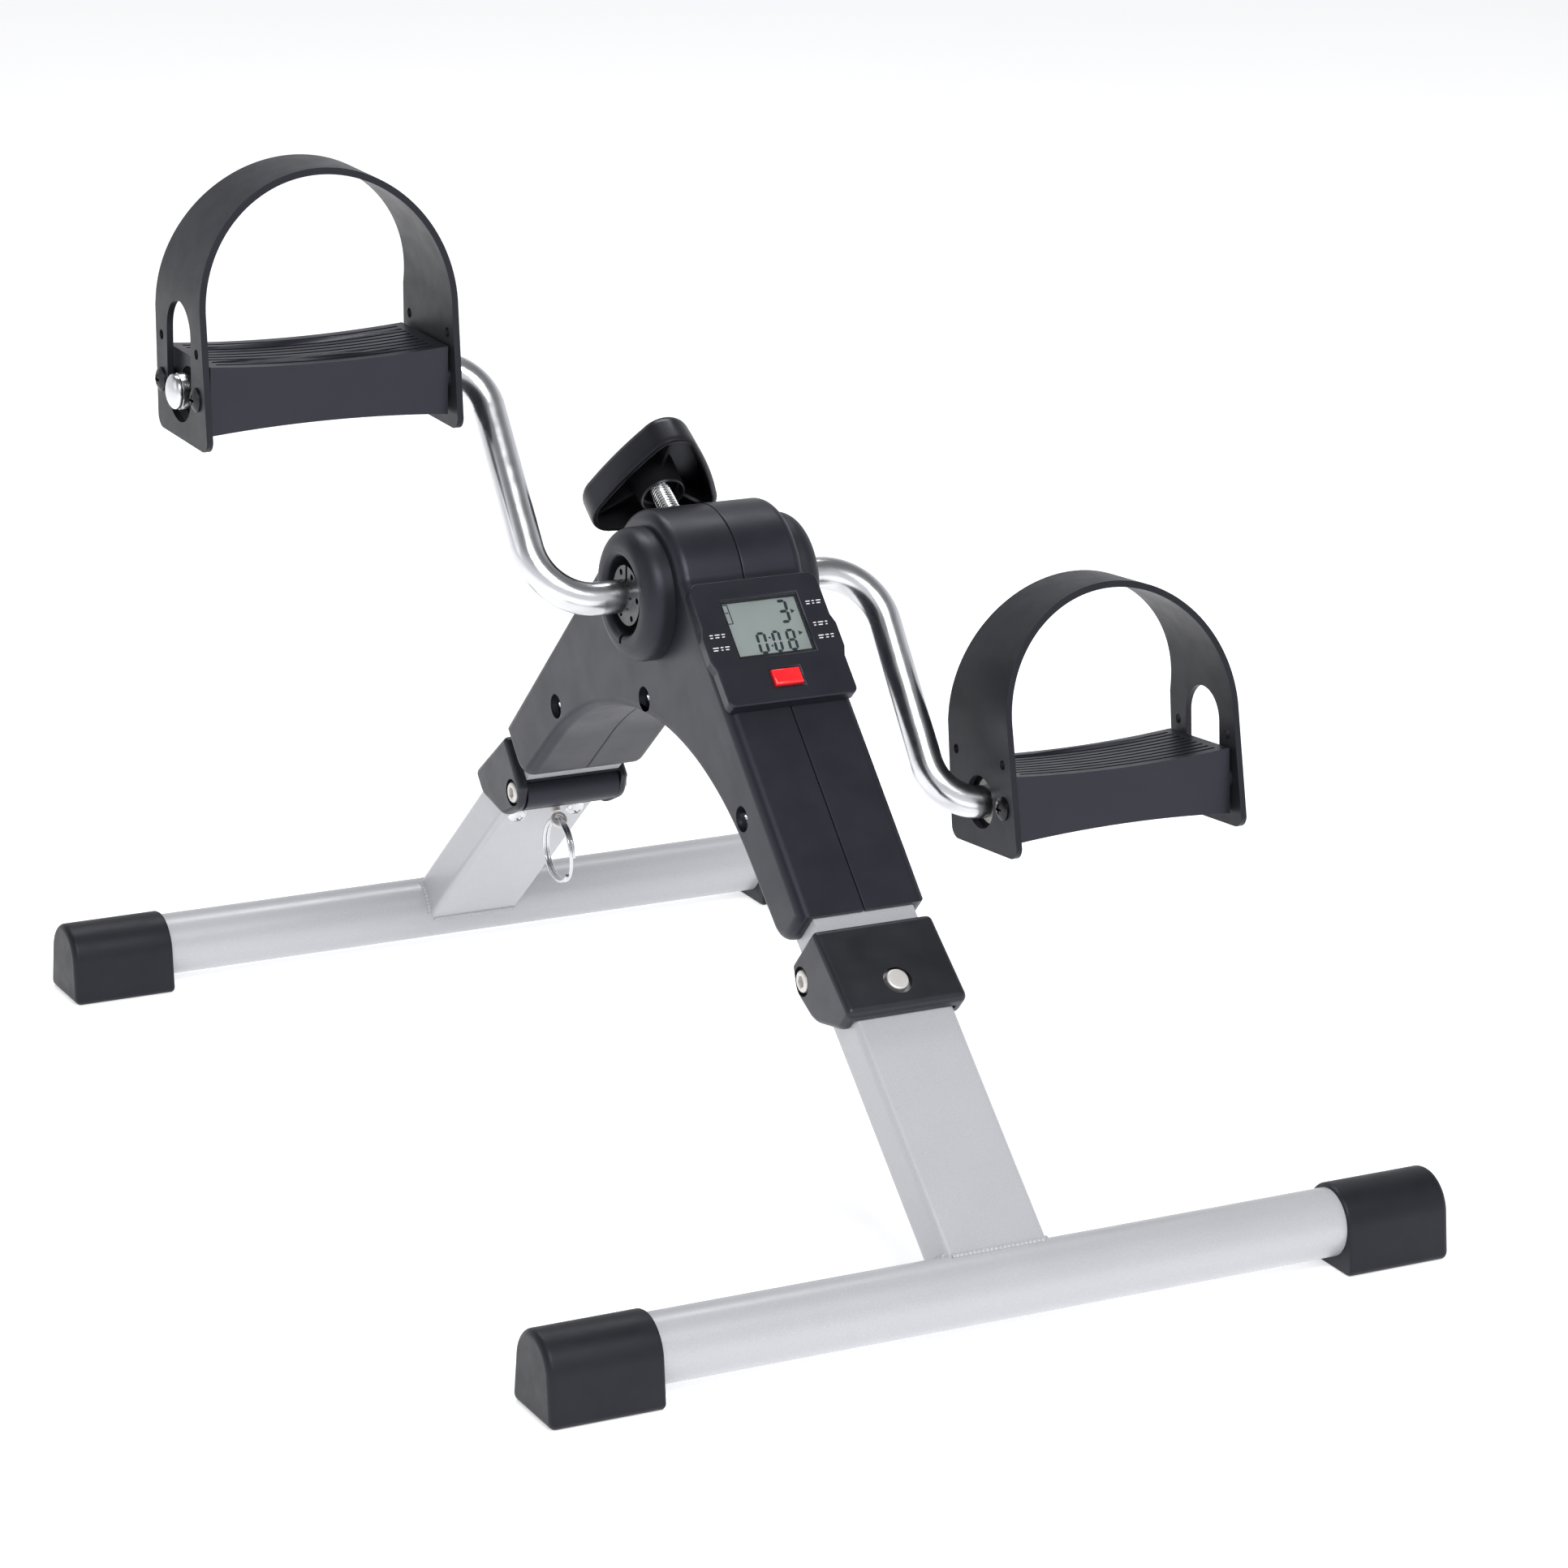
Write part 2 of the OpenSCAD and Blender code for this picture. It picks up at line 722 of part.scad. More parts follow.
// Side view of a foot loop in (Y, Z); the sole's front is at -Y
module loop_side() {
  low = -17.8;
  back = 22.7;
  front = back - plate_w;
  top_y = 1.5;
  round_r = 5;
  polygon(concat(
    arc([front + round_r, low + round_r], round_r, 187, 270),
    arc([back - round_r, low + round_r], round_r, 270, 358),
    [[back + 1.5, 28], [top_y + loop_top_w / 2, loop_top + 1],
     [top_y - loop_top_w / 2, loop_top + 1], [front + 5.7, 31]]));
}

// Foot loop: one band, up the inner plate, over the arch and down the outer plate
module foot_loop() {
  arch = loop_length / 2;
  mid = loop_in + arch;
  spring_z = loop_top - arch;
  low = -20;
  outer_x = loop_in + loop_length;
  color(rubber) difference() {
    intersection() {
      translate([0, 40, 0]) rotate([90, 0, 0]) linear_extrude(80) difference() {
        union() {
          translate([mid, spring_z]) circle(arch, $fn = 120);
          translate([loop_in, low]) square([loop_length, spring_z - low]);
        }
        translate([mid, spring_z]) circle(arch - loop_t, $fn = 120);
        translate([loop_in + loop_t, low - 1])
          square([loop_length - 2 * loop_t, spring_z - low + 1]);
      }
      across(loop_in - 1, outer_x + 1) loop_side();
    }
    slot_x(24.4, -11.5, 34, outer_x - 8, outer_x + 1);
    rod_x(10.3, loop_in - 1, loop_in + 8);
    for (x = [loop_in - 1, outer_x - 6], side = [-1, 1], row = [0, 1])
      translate([0, side * screw_y, screw_z + 16.9 * row]) rod_x(1.9, x, x + 7);
  }
}

module loop_screw() {
  difference() {
    union() {
      rod_x(1.55, -0.1, 9.5);
      intersection() {
        rod_x(4.5, -2.3, -0.05);
        translate([5, 0, 0]) sphere(7.3);
      }
    }
    for (turn = [0, 90]) rotate([turn, 0, 0]) block([-3, -2, -0.5], [-1.1, 2, 0.5]);
  }
}

module loop_screws() {
  outer_x = loop_in + loop_length;
  color(black) for (side = [-1, 1]) {
    translate([loop_in, side * screw_y, screw_z]) loop_screw();
    translate([outer_x, side * screw_y, screw_z]) mirror([1, 0, 0]) loop_screw();
  }
}

module pedal_bushes() {
  color(silver) for (x = [tread_in + 0.2, tread_in + tread_len - 18.2]) difference() {
    rod_x(bush_r - 0.02, x, x + 14);
    rod_x(axle_gap, x - 1, x + 15);
  }
}

// ---- display ----

// Display outline: rounded square with a shallow bulge on each side
module display_outline(height) {
  half = disp_w / 2;
  top_r = 4;
  low_r = 2.5;
  bulge_y = -1.5;
  bulge = 1.3;
  linear_extrude(height) polygon(concat(
    arc([half - low_r, low_r - half], low_r, -90, 0),
    [[half, bulge_y - 9], [half + bulge, bulge_y - 5], [half + bulge, bulge_y + 5],
     [half, bulge_y + 9]],
    arc([half - top_r, half - top_r], top_r, 0, 90),
    arc([top_r - half, half - top_r], top_r, 90, 180),
    [[-half, bulge_y + 9], [-half - bulge, bulge_y + 5], [-half - bulge, bulge_y - 5],
     [-half, bulge_y - 9]],
    arc([low_r - half, low_r - half], low_r, 180, 270)));
}

module display_case() {
  color(black) at_display() difference() {
    union() {
      translate([0, 0, case_lip]) display_outline(-case_lip);
      block([-19, -22.4, case_back + 1], [19, 20, case_lip + 0.1]);
    }
    block([-17.6, -21, case_back], [17.6, 18.6, -2]);
    // window recess and the view behind it
    block([-15.9, -6.9, -1.1], [15.9, 18.4, 1]);
    block([-15.2, -5.7, -3], [15.2, 17.4, 1]);
    // button opening
    block([-6.05, button_y - 3.45, -3], [6.05, button_y + 3.45, 1]);
    block([-6.5, button_y - 3.9, -0.6], [6.5, button_y + 3.9, 1]);
  }
}

module display_back() {
  color(black) at_display() block([-19, -22.4, case_back], [19, 20, case_back + 0.98]);
}

module display_window() {
  color([0.6, 0.65, 0.62, 0.4]) at_display() block([-15.8, -6.8, -1.09], [15.8, 18.3, -0.5]);
}

module lcd_panel() {
  color([0.56, 0.62, 0.58]) at_display() block([-16, -6.6, -3.9], [16, 18.3, -2.02]);
}

module circuit_board() {
  color([0.1, 0.35, 0.18]) at_display() block([-17.4, -20.8, -6.4], [17.4, 18.4, -5.2]);
}

module coin_cell() {
  color(chrome) at_display() translate([-7, 6, case_back + 1]) cylinder(r = 5.8, h = 2.4);
}

module reset_switch() {
  color(steel) at_display() translate([0, button_y, -5.19]) cylinder(r = 2.6, h = 0.35);
}

module reset_button() {
  color([0.85, 0.06, 0.08]) at_display() {
    block([-5.85, button_y - 3.25, -3.9], [5.85, button_y + 3.25, 1.2]);
    block([-6.9, button_y - 4.1, -3.9], [6.9, button_y + 4.1, -2.9]);
  }
}

// ---- brake ----

module tension_nut() {
  color(steel) at_brake() difference() {
    block([-half_leg + 0.05, -7, nut_in], [half_leg - 0.05, 7, nut_out]);
    translate([0, 0, nut_in - 1]) cylinder(r = thread_r + fit_gap, h = 8);
  }
}

module tension_screw() {
  color(chrome) at_brake() difference() {
    translate([0, 0, shoe_out - 1.4]) cylinder(r = thread_r, h = knob_in + 9 - shoe_out);
    translate([0, 0, shoe_out - 1.5]) difference() {
      cylinder(r = thread_r + 1, h = 2.2);
      translate([0, 0, -1]) cylinder(r = thread_r - 0.8, h = 4);
    }
  }
}

// Outline of the three-lobed knob with the given lobe radius
module lobes(r) {
  hull() for (turn = [30, 150, 270]) rotate(turn) translate([lobe_at, 0]) circle(r, $fn = 32);
}

module tension_knob() {
  color(black) at_brake() translate([0, 0, knob_in]) {
    difference() {
      linear_extrude(knob_h) lobes(lobe_r);
      translate([0, 0, -1]) linear_extrude(knob_h - 2) lobes(lobe_r - 2.6);
    }
    difference() {
      cylinder(r = 9, h = knob_h - 2);
      translate([0, 0, -1]) cylinder(r = thread_r + 0.02, h = 8.8);
    }
  }
}

// Outline of shoe and pad between two radii, seen along the axle
module shoe_sector(r0, r1, half_angle) {
  intersection() {
    difference() {
      circle(r1, $fn = 96);
      circle(r0, $fn = 96);
    }
    polygon([[0, 0], [-40 * tan(half_angle), 40], [40 * tan(half_angle), 40]]);
  }
}

module shoe_sweep(half) {
  translate([-half, 0, 0]) rotate([90, 0, 90]) linear_extrude(2 * half) children();
}

module brake_shoe() {
  color(steel) at_brake() difference() {
    shoe_sweep(11) shoe_sector(shoe_in + 0.05, shoe_out, 30);
    translate([0, 0, shoe_out - 1.5]) cylinder(r = thread_r - 0.8 + fit_gap, h = 5);
  }
}

module brake_pad() {
  color([0.35, 0.3, 0.25]) at_brake() shoe_sweep(11) shoe_sector(drum_r + pad_gap, shoe_in, 30);
}

housing_left();
housing_right();
housing_screws();
upper_frame();
axle_bushes();
hub_cover_left();
hub_cover_right();
tension_nut();
front_bracket();
rear_bracket();
pivot_bolts();
pivot_nuts();
display_case();
display_back();
display_window();
lcd_panel();
circuit_board();
coin_cell();
reset_switch();
reset_button();
reed_sensor();
crank_left();
crank_right();
brake_drum();
drum_screws();
axle_collars();
spindle_nuts();
trip_magnet();
at_pedal(true) tread();  // left_tread
at_pedal(true) foot_loop();  // left_loop
at_pedal(true) loop_screws();  // left_loop_screws
at_pedal(true) pedal_bushes();  // left_pedal_bushes
at_pedal(false) tread();  // right_tread
at_pedal(false) foot_loop();  // right_loop
at_pedal(false) loop_screws();  // right_loop_screws
at_pedal(false) pedal_bushes();  // right_pedal_bushes
leg(false);  // front_leg
cross_tube(false);  // front_cross_tube
end_cap(false, -1);  // front_cap_left
end_cap(false, 1);  // front_cap_right
color(black) at_hinge() leg_plug();  // front_plug
plug_screws(false);  // front_plug_screws
lock_pin(false);  // front_lock_pin
pin_spring(false);  // front_pin_spring
pull_ring(false);  // front_pull_ring
leg(true);  // rear_leg
cross_tube(true);  // rear_cross_tube
end_cap(true, 1);  // rear_cap_left
end_cap(true, -1);  // rear_cap_right
color(black) at_hinge(true) leg_plug();  // rear_plug
plug_screws(true);  // rear_plug_screws
lock_pin(true);  // rear_lock_pin
pin_spring(true);  // rear_pin_spring
pull_ring(true);  // rear_pull_ring
brake_shoe();
brake_pad();
tension_knob();
tension_screw();
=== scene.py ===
"""Looks of a folding pedal exerciser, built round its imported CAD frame. Lengths are in metres."""
import json
import math

import bmesh
import bpy
from mathutils import Matrix, Vector


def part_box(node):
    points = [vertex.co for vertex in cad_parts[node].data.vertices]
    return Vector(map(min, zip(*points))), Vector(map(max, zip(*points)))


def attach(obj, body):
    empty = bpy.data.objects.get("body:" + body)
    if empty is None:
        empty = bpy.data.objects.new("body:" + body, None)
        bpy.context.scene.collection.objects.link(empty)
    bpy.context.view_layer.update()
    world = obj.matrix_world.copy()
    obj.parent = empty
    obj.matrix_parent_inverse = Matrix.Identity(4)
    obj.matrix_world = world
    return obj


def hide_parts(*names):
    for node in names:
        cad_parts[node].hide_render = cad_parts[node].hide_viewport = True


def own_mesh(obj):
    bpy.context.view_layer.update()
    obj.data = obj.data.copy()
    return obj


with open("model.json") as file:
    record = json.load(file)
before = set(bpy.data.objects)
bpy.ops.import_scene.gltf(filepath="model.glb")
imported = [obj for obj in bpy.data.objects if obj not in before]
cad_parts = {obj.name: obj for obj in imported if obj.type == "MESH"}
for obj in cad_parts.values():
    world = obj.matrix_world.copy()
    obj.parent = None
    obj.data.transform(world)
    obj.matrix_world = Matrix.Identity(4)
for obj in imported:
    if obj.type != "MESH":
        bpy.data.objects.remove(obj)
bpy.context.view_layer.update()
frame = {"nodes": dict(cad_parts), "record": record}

MM = 0.001
TAU = 2 * math.pi
ENDS = (("front", False), ("rear", True))


# ---------------------------------------------------------------- places from the frame

def middle(node):
    """Centre of a CAD node's box at rest."""
    low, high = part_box(node)
    return (Vector(low) + Vector(high)) / 2


LEG_SLOPE = math.radians(41.8)
SCREW_SLOPE = math.radians(33)
FACE_SLOPE = math.radians(45)
HUB = Vector((0, 0, middle("brake_drum").z))
PIVOT_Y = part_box("pivot_bolts")[1][1] - 4.9 * MM
PIVOT_Z = middle("pivot_bolts").z
FOOT_Y = middle("rear_cross_tube").y
FOOT_Z = middle("rear_cross_tube").z
CROSS_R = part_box("rear_cross_tube")[1][2] - FOOT_Z
LEG_X = 20.5 * MM  # half width of a leg tube
LEG_N = (0.9 * MM, 18.9 * MM)  # its inner and outer faces, out from the pivot
PIN_DOWN = 16.7  # the lock pin, down the leg from the pivot, in mm
SCREW_SPOTS = ((-82, 147), (1.5, 171), (82, 147))  # housing screws, (y, z) in mm


def slope_frame(rear):
    """Matrix of a hinge: X across, Y outward from the leg, Z down the leg."""
    side = 1 if rear else -1
    outward = Vector((0, side * math.sin(LEG_SLOPE), math.cos(LEG_SLOPE)))
    down = Vector((0, side * math.cos(LEG_SLOPE), -math.sin(LEG_SLOPE)))
    across = outward.cross(down)
    place = Matrix.Translation((0, side * PIVOT_Y, PIVOT_Z))
    return place @ Matrix((across, outward, down)).transposed().to_4x4()


def screw_frame():
    """Matrix of the brake: origin on the axle, Z out along the tension screw."""
    return Matrix.Translation(HUB) @ Matrix.Rotation(SCREW_SLOPE - math.pi / 2, 4, "X")


def face_frame():
    """Matrix of the display: X right, Y up the face, Z out, origin on the case's front."""
    turn = Matrix.Rotation(FACE_SLOPE, 4, "X")
    lift = Matrix.Translation((0, -5.85 * MM, 2.96 * MM))
    return Matrix.Translation(middle("lcd_panel")) @ turn @ lift


def spindle_frame(left):
    """Matrix of a pedal spindle: X outward from the middle, at the spindle's middle plane."""
    name = "left_pedal_bushes" if left else "right_pedal_bushes"
    centre = middle(name)
    place = Matrix.Translation((0, centre.y, centre.z))
    return place @ Matrix.Diagonal((-1 if left else 1, 1, 1, 1))


# ---------------------------------------------------------------- materials

class Shader:
    """A node material with one Principled shader and a few helpers to build its inputs."""

    def __init__(self, name):
        self.material = bpy.data.materials.new(name)
        self.material.use_nodes = True
        self.tree = self.material.node_tree
        self.bsdf = self.tree.nodes["Principled BSDF"]
        self.place = self.node("ShaderNodeTexCoord").outputs["Object"]

    def node(self, kind, **values):
        made = self.tree.nodes.new(kind)
        for key, value in values.items():
            if hasattr(made, key):
                setattr(made, key, value)
            else:
                made.inputs[key.replace("_", " ")].default_value = value
        return made

    def link(self, source, target):
        self.tree.links.new(source, target)

    def set(self, **values):
        for key, value in values.items():
            self.bsdf.inputs[key.replace("_", " ")].default_value = value

    def stretched(self, scale):
        mapping = self.node("ShaderNodeMapping")
        mapping.inputs["Scale"].default_value = scale
        self.link(self.place, mapping.inputs["Vector"])
        return mapping.outputs["Vector"]

    def noise(self, scale, detail=3.0, stretch=None, rough=0.55):
        made = self.node("ShaderNodeTexNoise", Scale=scale, Detail=detail, Roughness=rough)
        self.link(self.stretched(stretch) if stretch else self.place, made.inputs["Vector"])
        return made.outputs["Fac"]

    def ramp(self, factor, low, high, start=0.3, end=0.7):
        made = self.node("ShaderNodeMapRange")
        made.inputs["From Min"].default_value = start
        made.inputs["From Max"].default_value = end
        made.inputs["To Min"].default_value = low
        made.inputs["To Max"].default_value = high
        self.link(factor, made.inputs["Value"])
        return made.outputs["Result"]

    def blend(self, factor, first, second):
        made = self.node("ShaderNodeMix", data_type="RGBA")
        for socket, value in zip((6, 7), (first, second)):
            if isinstance(value, tuple):
                made.inputs[socket].default_value = (*value, 1)
            else:
                self.link(value, made.inputs[socket])
        self.link(factor, made.inputs[0])
        return made.outputs[2]

    def colour(self, output):
        self.link(output, self.bsdf.inputs["Base Color"])

    def mottled(self, scale, first, second, detail=3.0, start=0.3, end=0.7):
        """Base colour that wanders between two tones."""
        self.colour(self.blend(self.ramp(self.noise(scale, detail), 0, 1, start, end), first, second))

    def roughness(self, output):
        self.link(output, self.bsdf.inputs["Roughness"])

    def bump(self, *layers):
        """Layers are (height output, distance in metres, strength), stacked in order."""
        previous = None
        for height, distance, strength in layers:
            made = self.node("ShaderNodeBump", Strength=strength, Distance=distance)
            self.link(height, made.inputs["Height"])
            if previous:
                self.link(previous, made.inputs["Normal"])
            previous = made.outputs["Normal"]
        self.link(previous, self.bsdf.inputs["Normal"])

    # Mask of sharp edges, used to turn a colour paler there
    def edge_mask(self, width, start=0.02, end=0.25):
        """1 near a sharp edge, 0 on flat ground."""
        bevel = self.node("ShaderNodeBevel", samples=4)
        bevel.inputs["Radius"].default_value = width
        geometry = self.node("ShaderNodeNewGeometry")
        dot = self.node("ShaderNodeVectorMath", operation="DOT_PRODUCT")
        self.link(bevel.outputs["Normal"], dot.inputs[0])
        self.link(geometry.outputs["Normal"], dot.inputs[1])
        return self.ramp(dot.outputs["Value"], 1.0, 0.0, 1 - end, 1 - start)


def moulded_plastic(name, dark, light, smooth, rough, grain_scale=1500, grain=0.25):
    """Injection-moulded plastic: fine grain, faint tone changes and a paler colour along sharp edges.
    """
    made = Shader(name)
    tone = made.blend(made.ramp(made.noise(24), 0, 1), dark, light)
    edge = tuple(min(1, 3.2 * value + 0.01) for value in light)
    # Colour turns paler along sharp edges
    made.colour(made.blend(made.ramp(made.edge_mask(0.35 * MM), 0, 0.35, 0, 1), tone, edge))
    made.roughness(made.ramp(made.noise(70, 4), smooth, rough))
    made.bump((made.noise(grain_scale, 2), 0.03 * MM, grain), (made.noise(35), 0.1 * MM, 0.04))
    made.set(Specular_IOR_Level=0.5, Specular_Tint=(0.76, 0.77, 0.92, 1))
    return made.material


def rubber(name, dark, light, smooth, rough, sheen):
    """Soft black rubber or PVC: dull, slightly mottled, with a dusty sheen."""
    made = Shader(name)
    made.mottled(45, dark, light, 5)
    made.roughness(made.ramp(made.noise(120, 4), smooth, rough))
    made.bump((made.noise(900, 3), 0.04 * MM, 0.3), (made.noise(60), 0.15 * MM, 0.15))
    made.set(Sheen_Weight=sheen, Sheen_Roughness=0.4)
    made.set(Specular_IOR_Level=0.4, Specular_Tint=(0.72, 0.73, 0.84, 1))
    return made.material


def silver_paint():
    """Silver-grey stove enamel: fine flakes, faint orange peel, thin clear coat."""
    made = Shader("silver_paint")
    flakes = made.ramp(made.noise(2600, 2), 0, 1, 0.35, 0.65)
    ground = made.blend(flakes, (0.445, 0.45, 0.472), (0.515, 0.52, 0.545))
    made.colour(made.blend(made.ramp(made.noise(9), 0, 0.35), ground, (0.475, 0.48, 0.503)))
    made.roughness(made.ramp(made.noise(60, 4), 0.32, 0.42))
    made.bump((made.noise(420, 2), 0.03 * MM, 0.25), (made.noise(2600, 1), 0.01 * MM, 0.15))
    made.set(Metallic=0.08, Coat_Weight=0.2, Coat_Roughness=0.2)
    return made.material


def plated(name, colour, smooth, rough, scratches=0.08, metal=1.0):
    """Plated or bare metal with hairline polishing marks, from near-mirror to satin."""
    made = Shader(name)
    darker = tuple(0.93 * value for value in colour)
    made.mottled(55, darker, colour)
    made.roughness(made.ramp(made.noise(160, 5), smooth, rough))
    made.bump((made.noise(300, 3, stretch=(1, 12, 12)), 0.01 * MM, scratches))
    made.set(Metallic=metal)
    return made.material


def black_enamel():
    """Black painted steel: smooth, paler along sharp edges."""
    made = Shader("black_enamel")
    patches = made.ramp(made.noise(40), 0, 1)
    tone = made.blend(patches, (0.010, 0.0105, 0.012), (0.017, 0.0175, 0.02))
    # Colour turns paler grey along sharp edges
    pale_edges = made.ramp(made.edge_mask(0.3 * MM), 0, 0.3, 0, 1)
    made.colour(made.blend(pale_edges, tone, (0.09, 0.09, 0.1)))
    made.roughness(made.ramp(made.noise(90, 4), 0.30, 0.42))
    made.bump((made.noise(650, 3), 0.03 * MM, 0.25), (made.noise(40), 0.1 * MM, 0.1))
    made.set(Specular_Tint=(0.84, 0.85, 1, 1))
    return made.material


def red_plastic():
    """Glossy red button."""
    made = Shader("red_button")
    made.mottled(140, (0.86, 0.012, 0.018), (0.95, 0.022, 0.03))
    made.roughness(made.ramp(made.noise(260, 3), 0.18, 0.3))
    made.bump((made.noise(900, 2), 0.02 * MM, 0.15))
    made.set(Coat_Weight=0.4, Coat_Roughness=0.08)
    return made.material


def lcd_glass():
    """Grey liquid-crystal panel, faintly uneven."""
    made = Shader("lcd_glass")
    made.mottled(30, (0.435, 0.478, 0.478), (0.495, 0.537, 0.537), 2)
    made.roughness(made.ramp(made.noise(200, 3), 0.3, 0.4))
    made.bump((made.noise(3000, 1), 0.005 * MM, 0.1))
    return made.material


def clear_window():
    """Clear acrylic over the panel."""
    made = Shader("clear_window")
    made.mottled(60, (0.9, 0.93, 0.91), (0.95, 0.97, 0.96))
    made.roughness(made.ramp(made.noise(300, 3), 0.01, 0.05))
    made.set(Transmission_Weight=1.0, IOR=1.46)
    return made.material


def lcd_ink():
    """Dark liquid crystal of the digits."""
    made = Shader("lcd_ink")
    made.mottled(200, (0.012, 0.02, 0.03), (0.022, 0.033, 0.045))
    made.roughness(made.ramp(made.noise(300), 0.35, 0.5))
    return made.material


def print_ink():
    """White pad-printed marks, slightly uneven."""
    made = Shader("print_ink")
    made.mottled(900, (0.62, 0.63, 0.65), (0.8, 0.8, 0.82), 4)
    made.roughness(made.ramp(made.noise(500), 0.45, 0.6))
    return made.material


def solder_mask():
    """Green lacquer of the circuit board."""
    made = Shader("solder_mask")
    made.mottled(500, (0.01, 0.12, 0.05), (0.02, 0.18, 0.08), 2, 0.45, 0.55)
    made.roughness(made.ramp(made.noise(300), 0.25, 0.4))
    return made.material


def brake_lining():
    """Brown fibrous lining of the brake pad."""
    made = Shader("brake_lining")
    made.mottled(700, (0.09, 0.06, 0.04), (0.22, 0.17, 0.12), 5)
    made.roughness(made.ramp(made.noise(300), 0.75, 0.95))
    made.bump((made.noise(900, 5), 0.2 * MM, 0.5))
    return made.material


LOOKS = {
    "black_plastic": moulded_plastic(
        "black_plastic", (0.0088, 0.0090, 0.0132), (0.0110, 0.0113, 0.0160), 0.36, 0.44),
    "hub_plastic": moulded_plastic(
        "hub_plastic", (0.0090, 0.0092, 0.0122), (0.0115, 0.0118, 0.0150), 0.42, 0.5, 1100, 0.35),
    "gloss_plastic": moulded_plastic(
        "gloss_plastic", (0.008, 0.008, 0.0095), (0.0105, 0.0105, 0.0125), 0.3, 0.35, 900, 0.08),
    "nylon": moulded_plastic("nylon", (0.6, 0.59, 0.55), (0.68, 0.67, 0.63), 0.4, 0.55),
    "silver_paint": silver_paint(),
    "chrome": plated("chrome", (0.74, 0.745, 0.765), 0.19, 0.27),
    "bright_thread": plated("bright_thread", (0.93, 0.935, 0.94), 0.16, 0.26),
    "nickel": plated("nickel", (0.74, 0.715, 0.69), 0.34, 0.46, 0.2, 0.55),
    "dark_steel": plated("dark_steel", (0.10, 0.102, 0.108), 0.3, 0.42, 0.25),
    "steel": plated("steel", (0.55, 0.56, 0.58), 0.25, 0.42, 0.3),
    "black_screw": plated("black_screw", (0.05, 0.05, 0.055), 0.25, 0.4, 0.2),
    "black_steel": black_enamel(),
    "rubber": rubber(
        "rubber", (0.0075, 0.0078, 0.0102), (0.0105, 0.0108, 0.0137), 0.42, 0.52, 0.02),
    "loop_rubber": rubber(
        "loop_rubber", (0.0090, 0.0094, 0.0122), (0.0125, 0.0130, 0.0165), 0.40, 0.48, 0.03),
    "red_button": red_plastic(),
    "clear_window": clear_window(),
    "lcd_glass": lcd_glass(),
    "lcd_ink": lcd_ink(),
    "print_ink": print_ink(),
    "board": solder_mask(),
    "brake_lining": brake_lining(),
}
SLOT_OF = {part["node"]: part["material_slot"] for part in frame["record"]["subparts"]}
BODY_OF = {
    node: body for body, nodes in frame["record"]["behaviour"]["bodies"].items() for node in nodes}


# ---------------------------------------------------------------- mesh helpers

SHARP = math.radians(25)


def finish_piece(piece, body, slot, look=None, smooth=32):
    """Shades a piece, gives it its material and fastens it to a body."""
    mesh = piece.data
    mesh.materials.clear()
    mesh.materials.append(look or LOOKS[slot])
    mesh.shade_smooth()
    mesh.set_sharp_from_angle(angle=math.radians(smooth))
    weighted = piece.modifiers.new("weighted", "WEIGHTED_NORMAL")
    weighted.keep_sharp = True
    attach(piece, body)


def piece_from(bm, name, matrix=None):
    """Turns a bmesh into an object in the row frame."""
    if matrix:
        bmesh.ops.transform(bm, matrix=matrix, verts=bm.verts)
    bmesh.ops.recalc_face_normals(bm, faces=bm.faces)
    mesh = bpy.data.meshes.new(name)
    bm.to_mesh(mesh)
    bm.free()
    piece = bpy.data.objects.new(name, mesh)
    bpy.context.scene.collection.objects.link(piece)
    return piece


def loft(bm, rings, closed=False, cap_start=False, cap_end=False):
    """Joins rings of points, each ring closed on itself, into a skin."""
    layers = [[bm.verts.new(point) for point in ring] for ring in rings]
    count = len(layers[0])
    pairs = list(zip(layers, layers[1:] + (layers[:1] if closed else [])))
    for first, second in pairs[:len(layers) if closed else len(layers) - 1]:
        for i in range(count):
            j = (i + 1) % count
            bm.faces.new((first[i], first[j], second[j], second[i]))
    if cap_start:
        bm.faces.new(layers[0][::-1])
    if cap_end:
        bm.faces.new(layers[-1])
    return layers


def turned(bm, profile, steps):
    """Turns a profile of (radius, height) points in mm about Z; both ends are capped."""
    rings = []
    for radius, height in profile:
        reach = radius * MM
        rings.append([
            (reach * math.cos(TAU * i / steps), reach * math.sin(TAU * i / steps), height * MM)
            for i in range(steps)])
    loft(bm, rings, cap_start=True, cap_end=True)


def tube(bm, path, radius, sides):
    """A round wire along a path; radius is a number or a function of the share of the length."""
    rings = []
    count = len(path)
    normal = None
    for i, point in enumerate(path):
        along = (path[min(i + 1, count - 1)] - path[max(i - 1, 0)]).normalized()
        if normal is None:
            normal = along.orthogonal().normalized()
        normal = (normal - along * normal.dot(along)).normalized()
        other = along.cross(normal)
        r = radius(i / count) if callable(radius) else radius
        rings.append([
            point + r * (math.cos(TAU * k / sides) * normal + math.sin(TAU * k / sides) * other)
            for k in range(sides)])
    loft(bm, rings, cap_start=True, cap_end=True)


def merge(bm, part, matrix):
    """Adds one bmesh, placed by a matrix, to another, and frees it."""
    bmesh.ops.transform(part, matrix=matrix, verts=part.verts)
    holder = bpy.data.meshes.new("holder")
    part.to_mesh(holder)
    part.free()
    bm.from_mesh(holder)
    bpy.data.meshes.remove(holder)


def on_plane(edge, value, slack=0.06):
    """True where an edge lies in a plane |x| = value, in millimetres."""
    return all(abs(abs(vert.co.x) - value * MM) < slack * MM for vert in edge.verts)


def away_from(edge, y, z, radius):
    """True where an edge is further than radius from a line along X; metres."""
    centre = (edge.verts[0].co + edge.verts[1].co) / 2
    return math.hypot(centre.y - y, centre.z - z) > radius


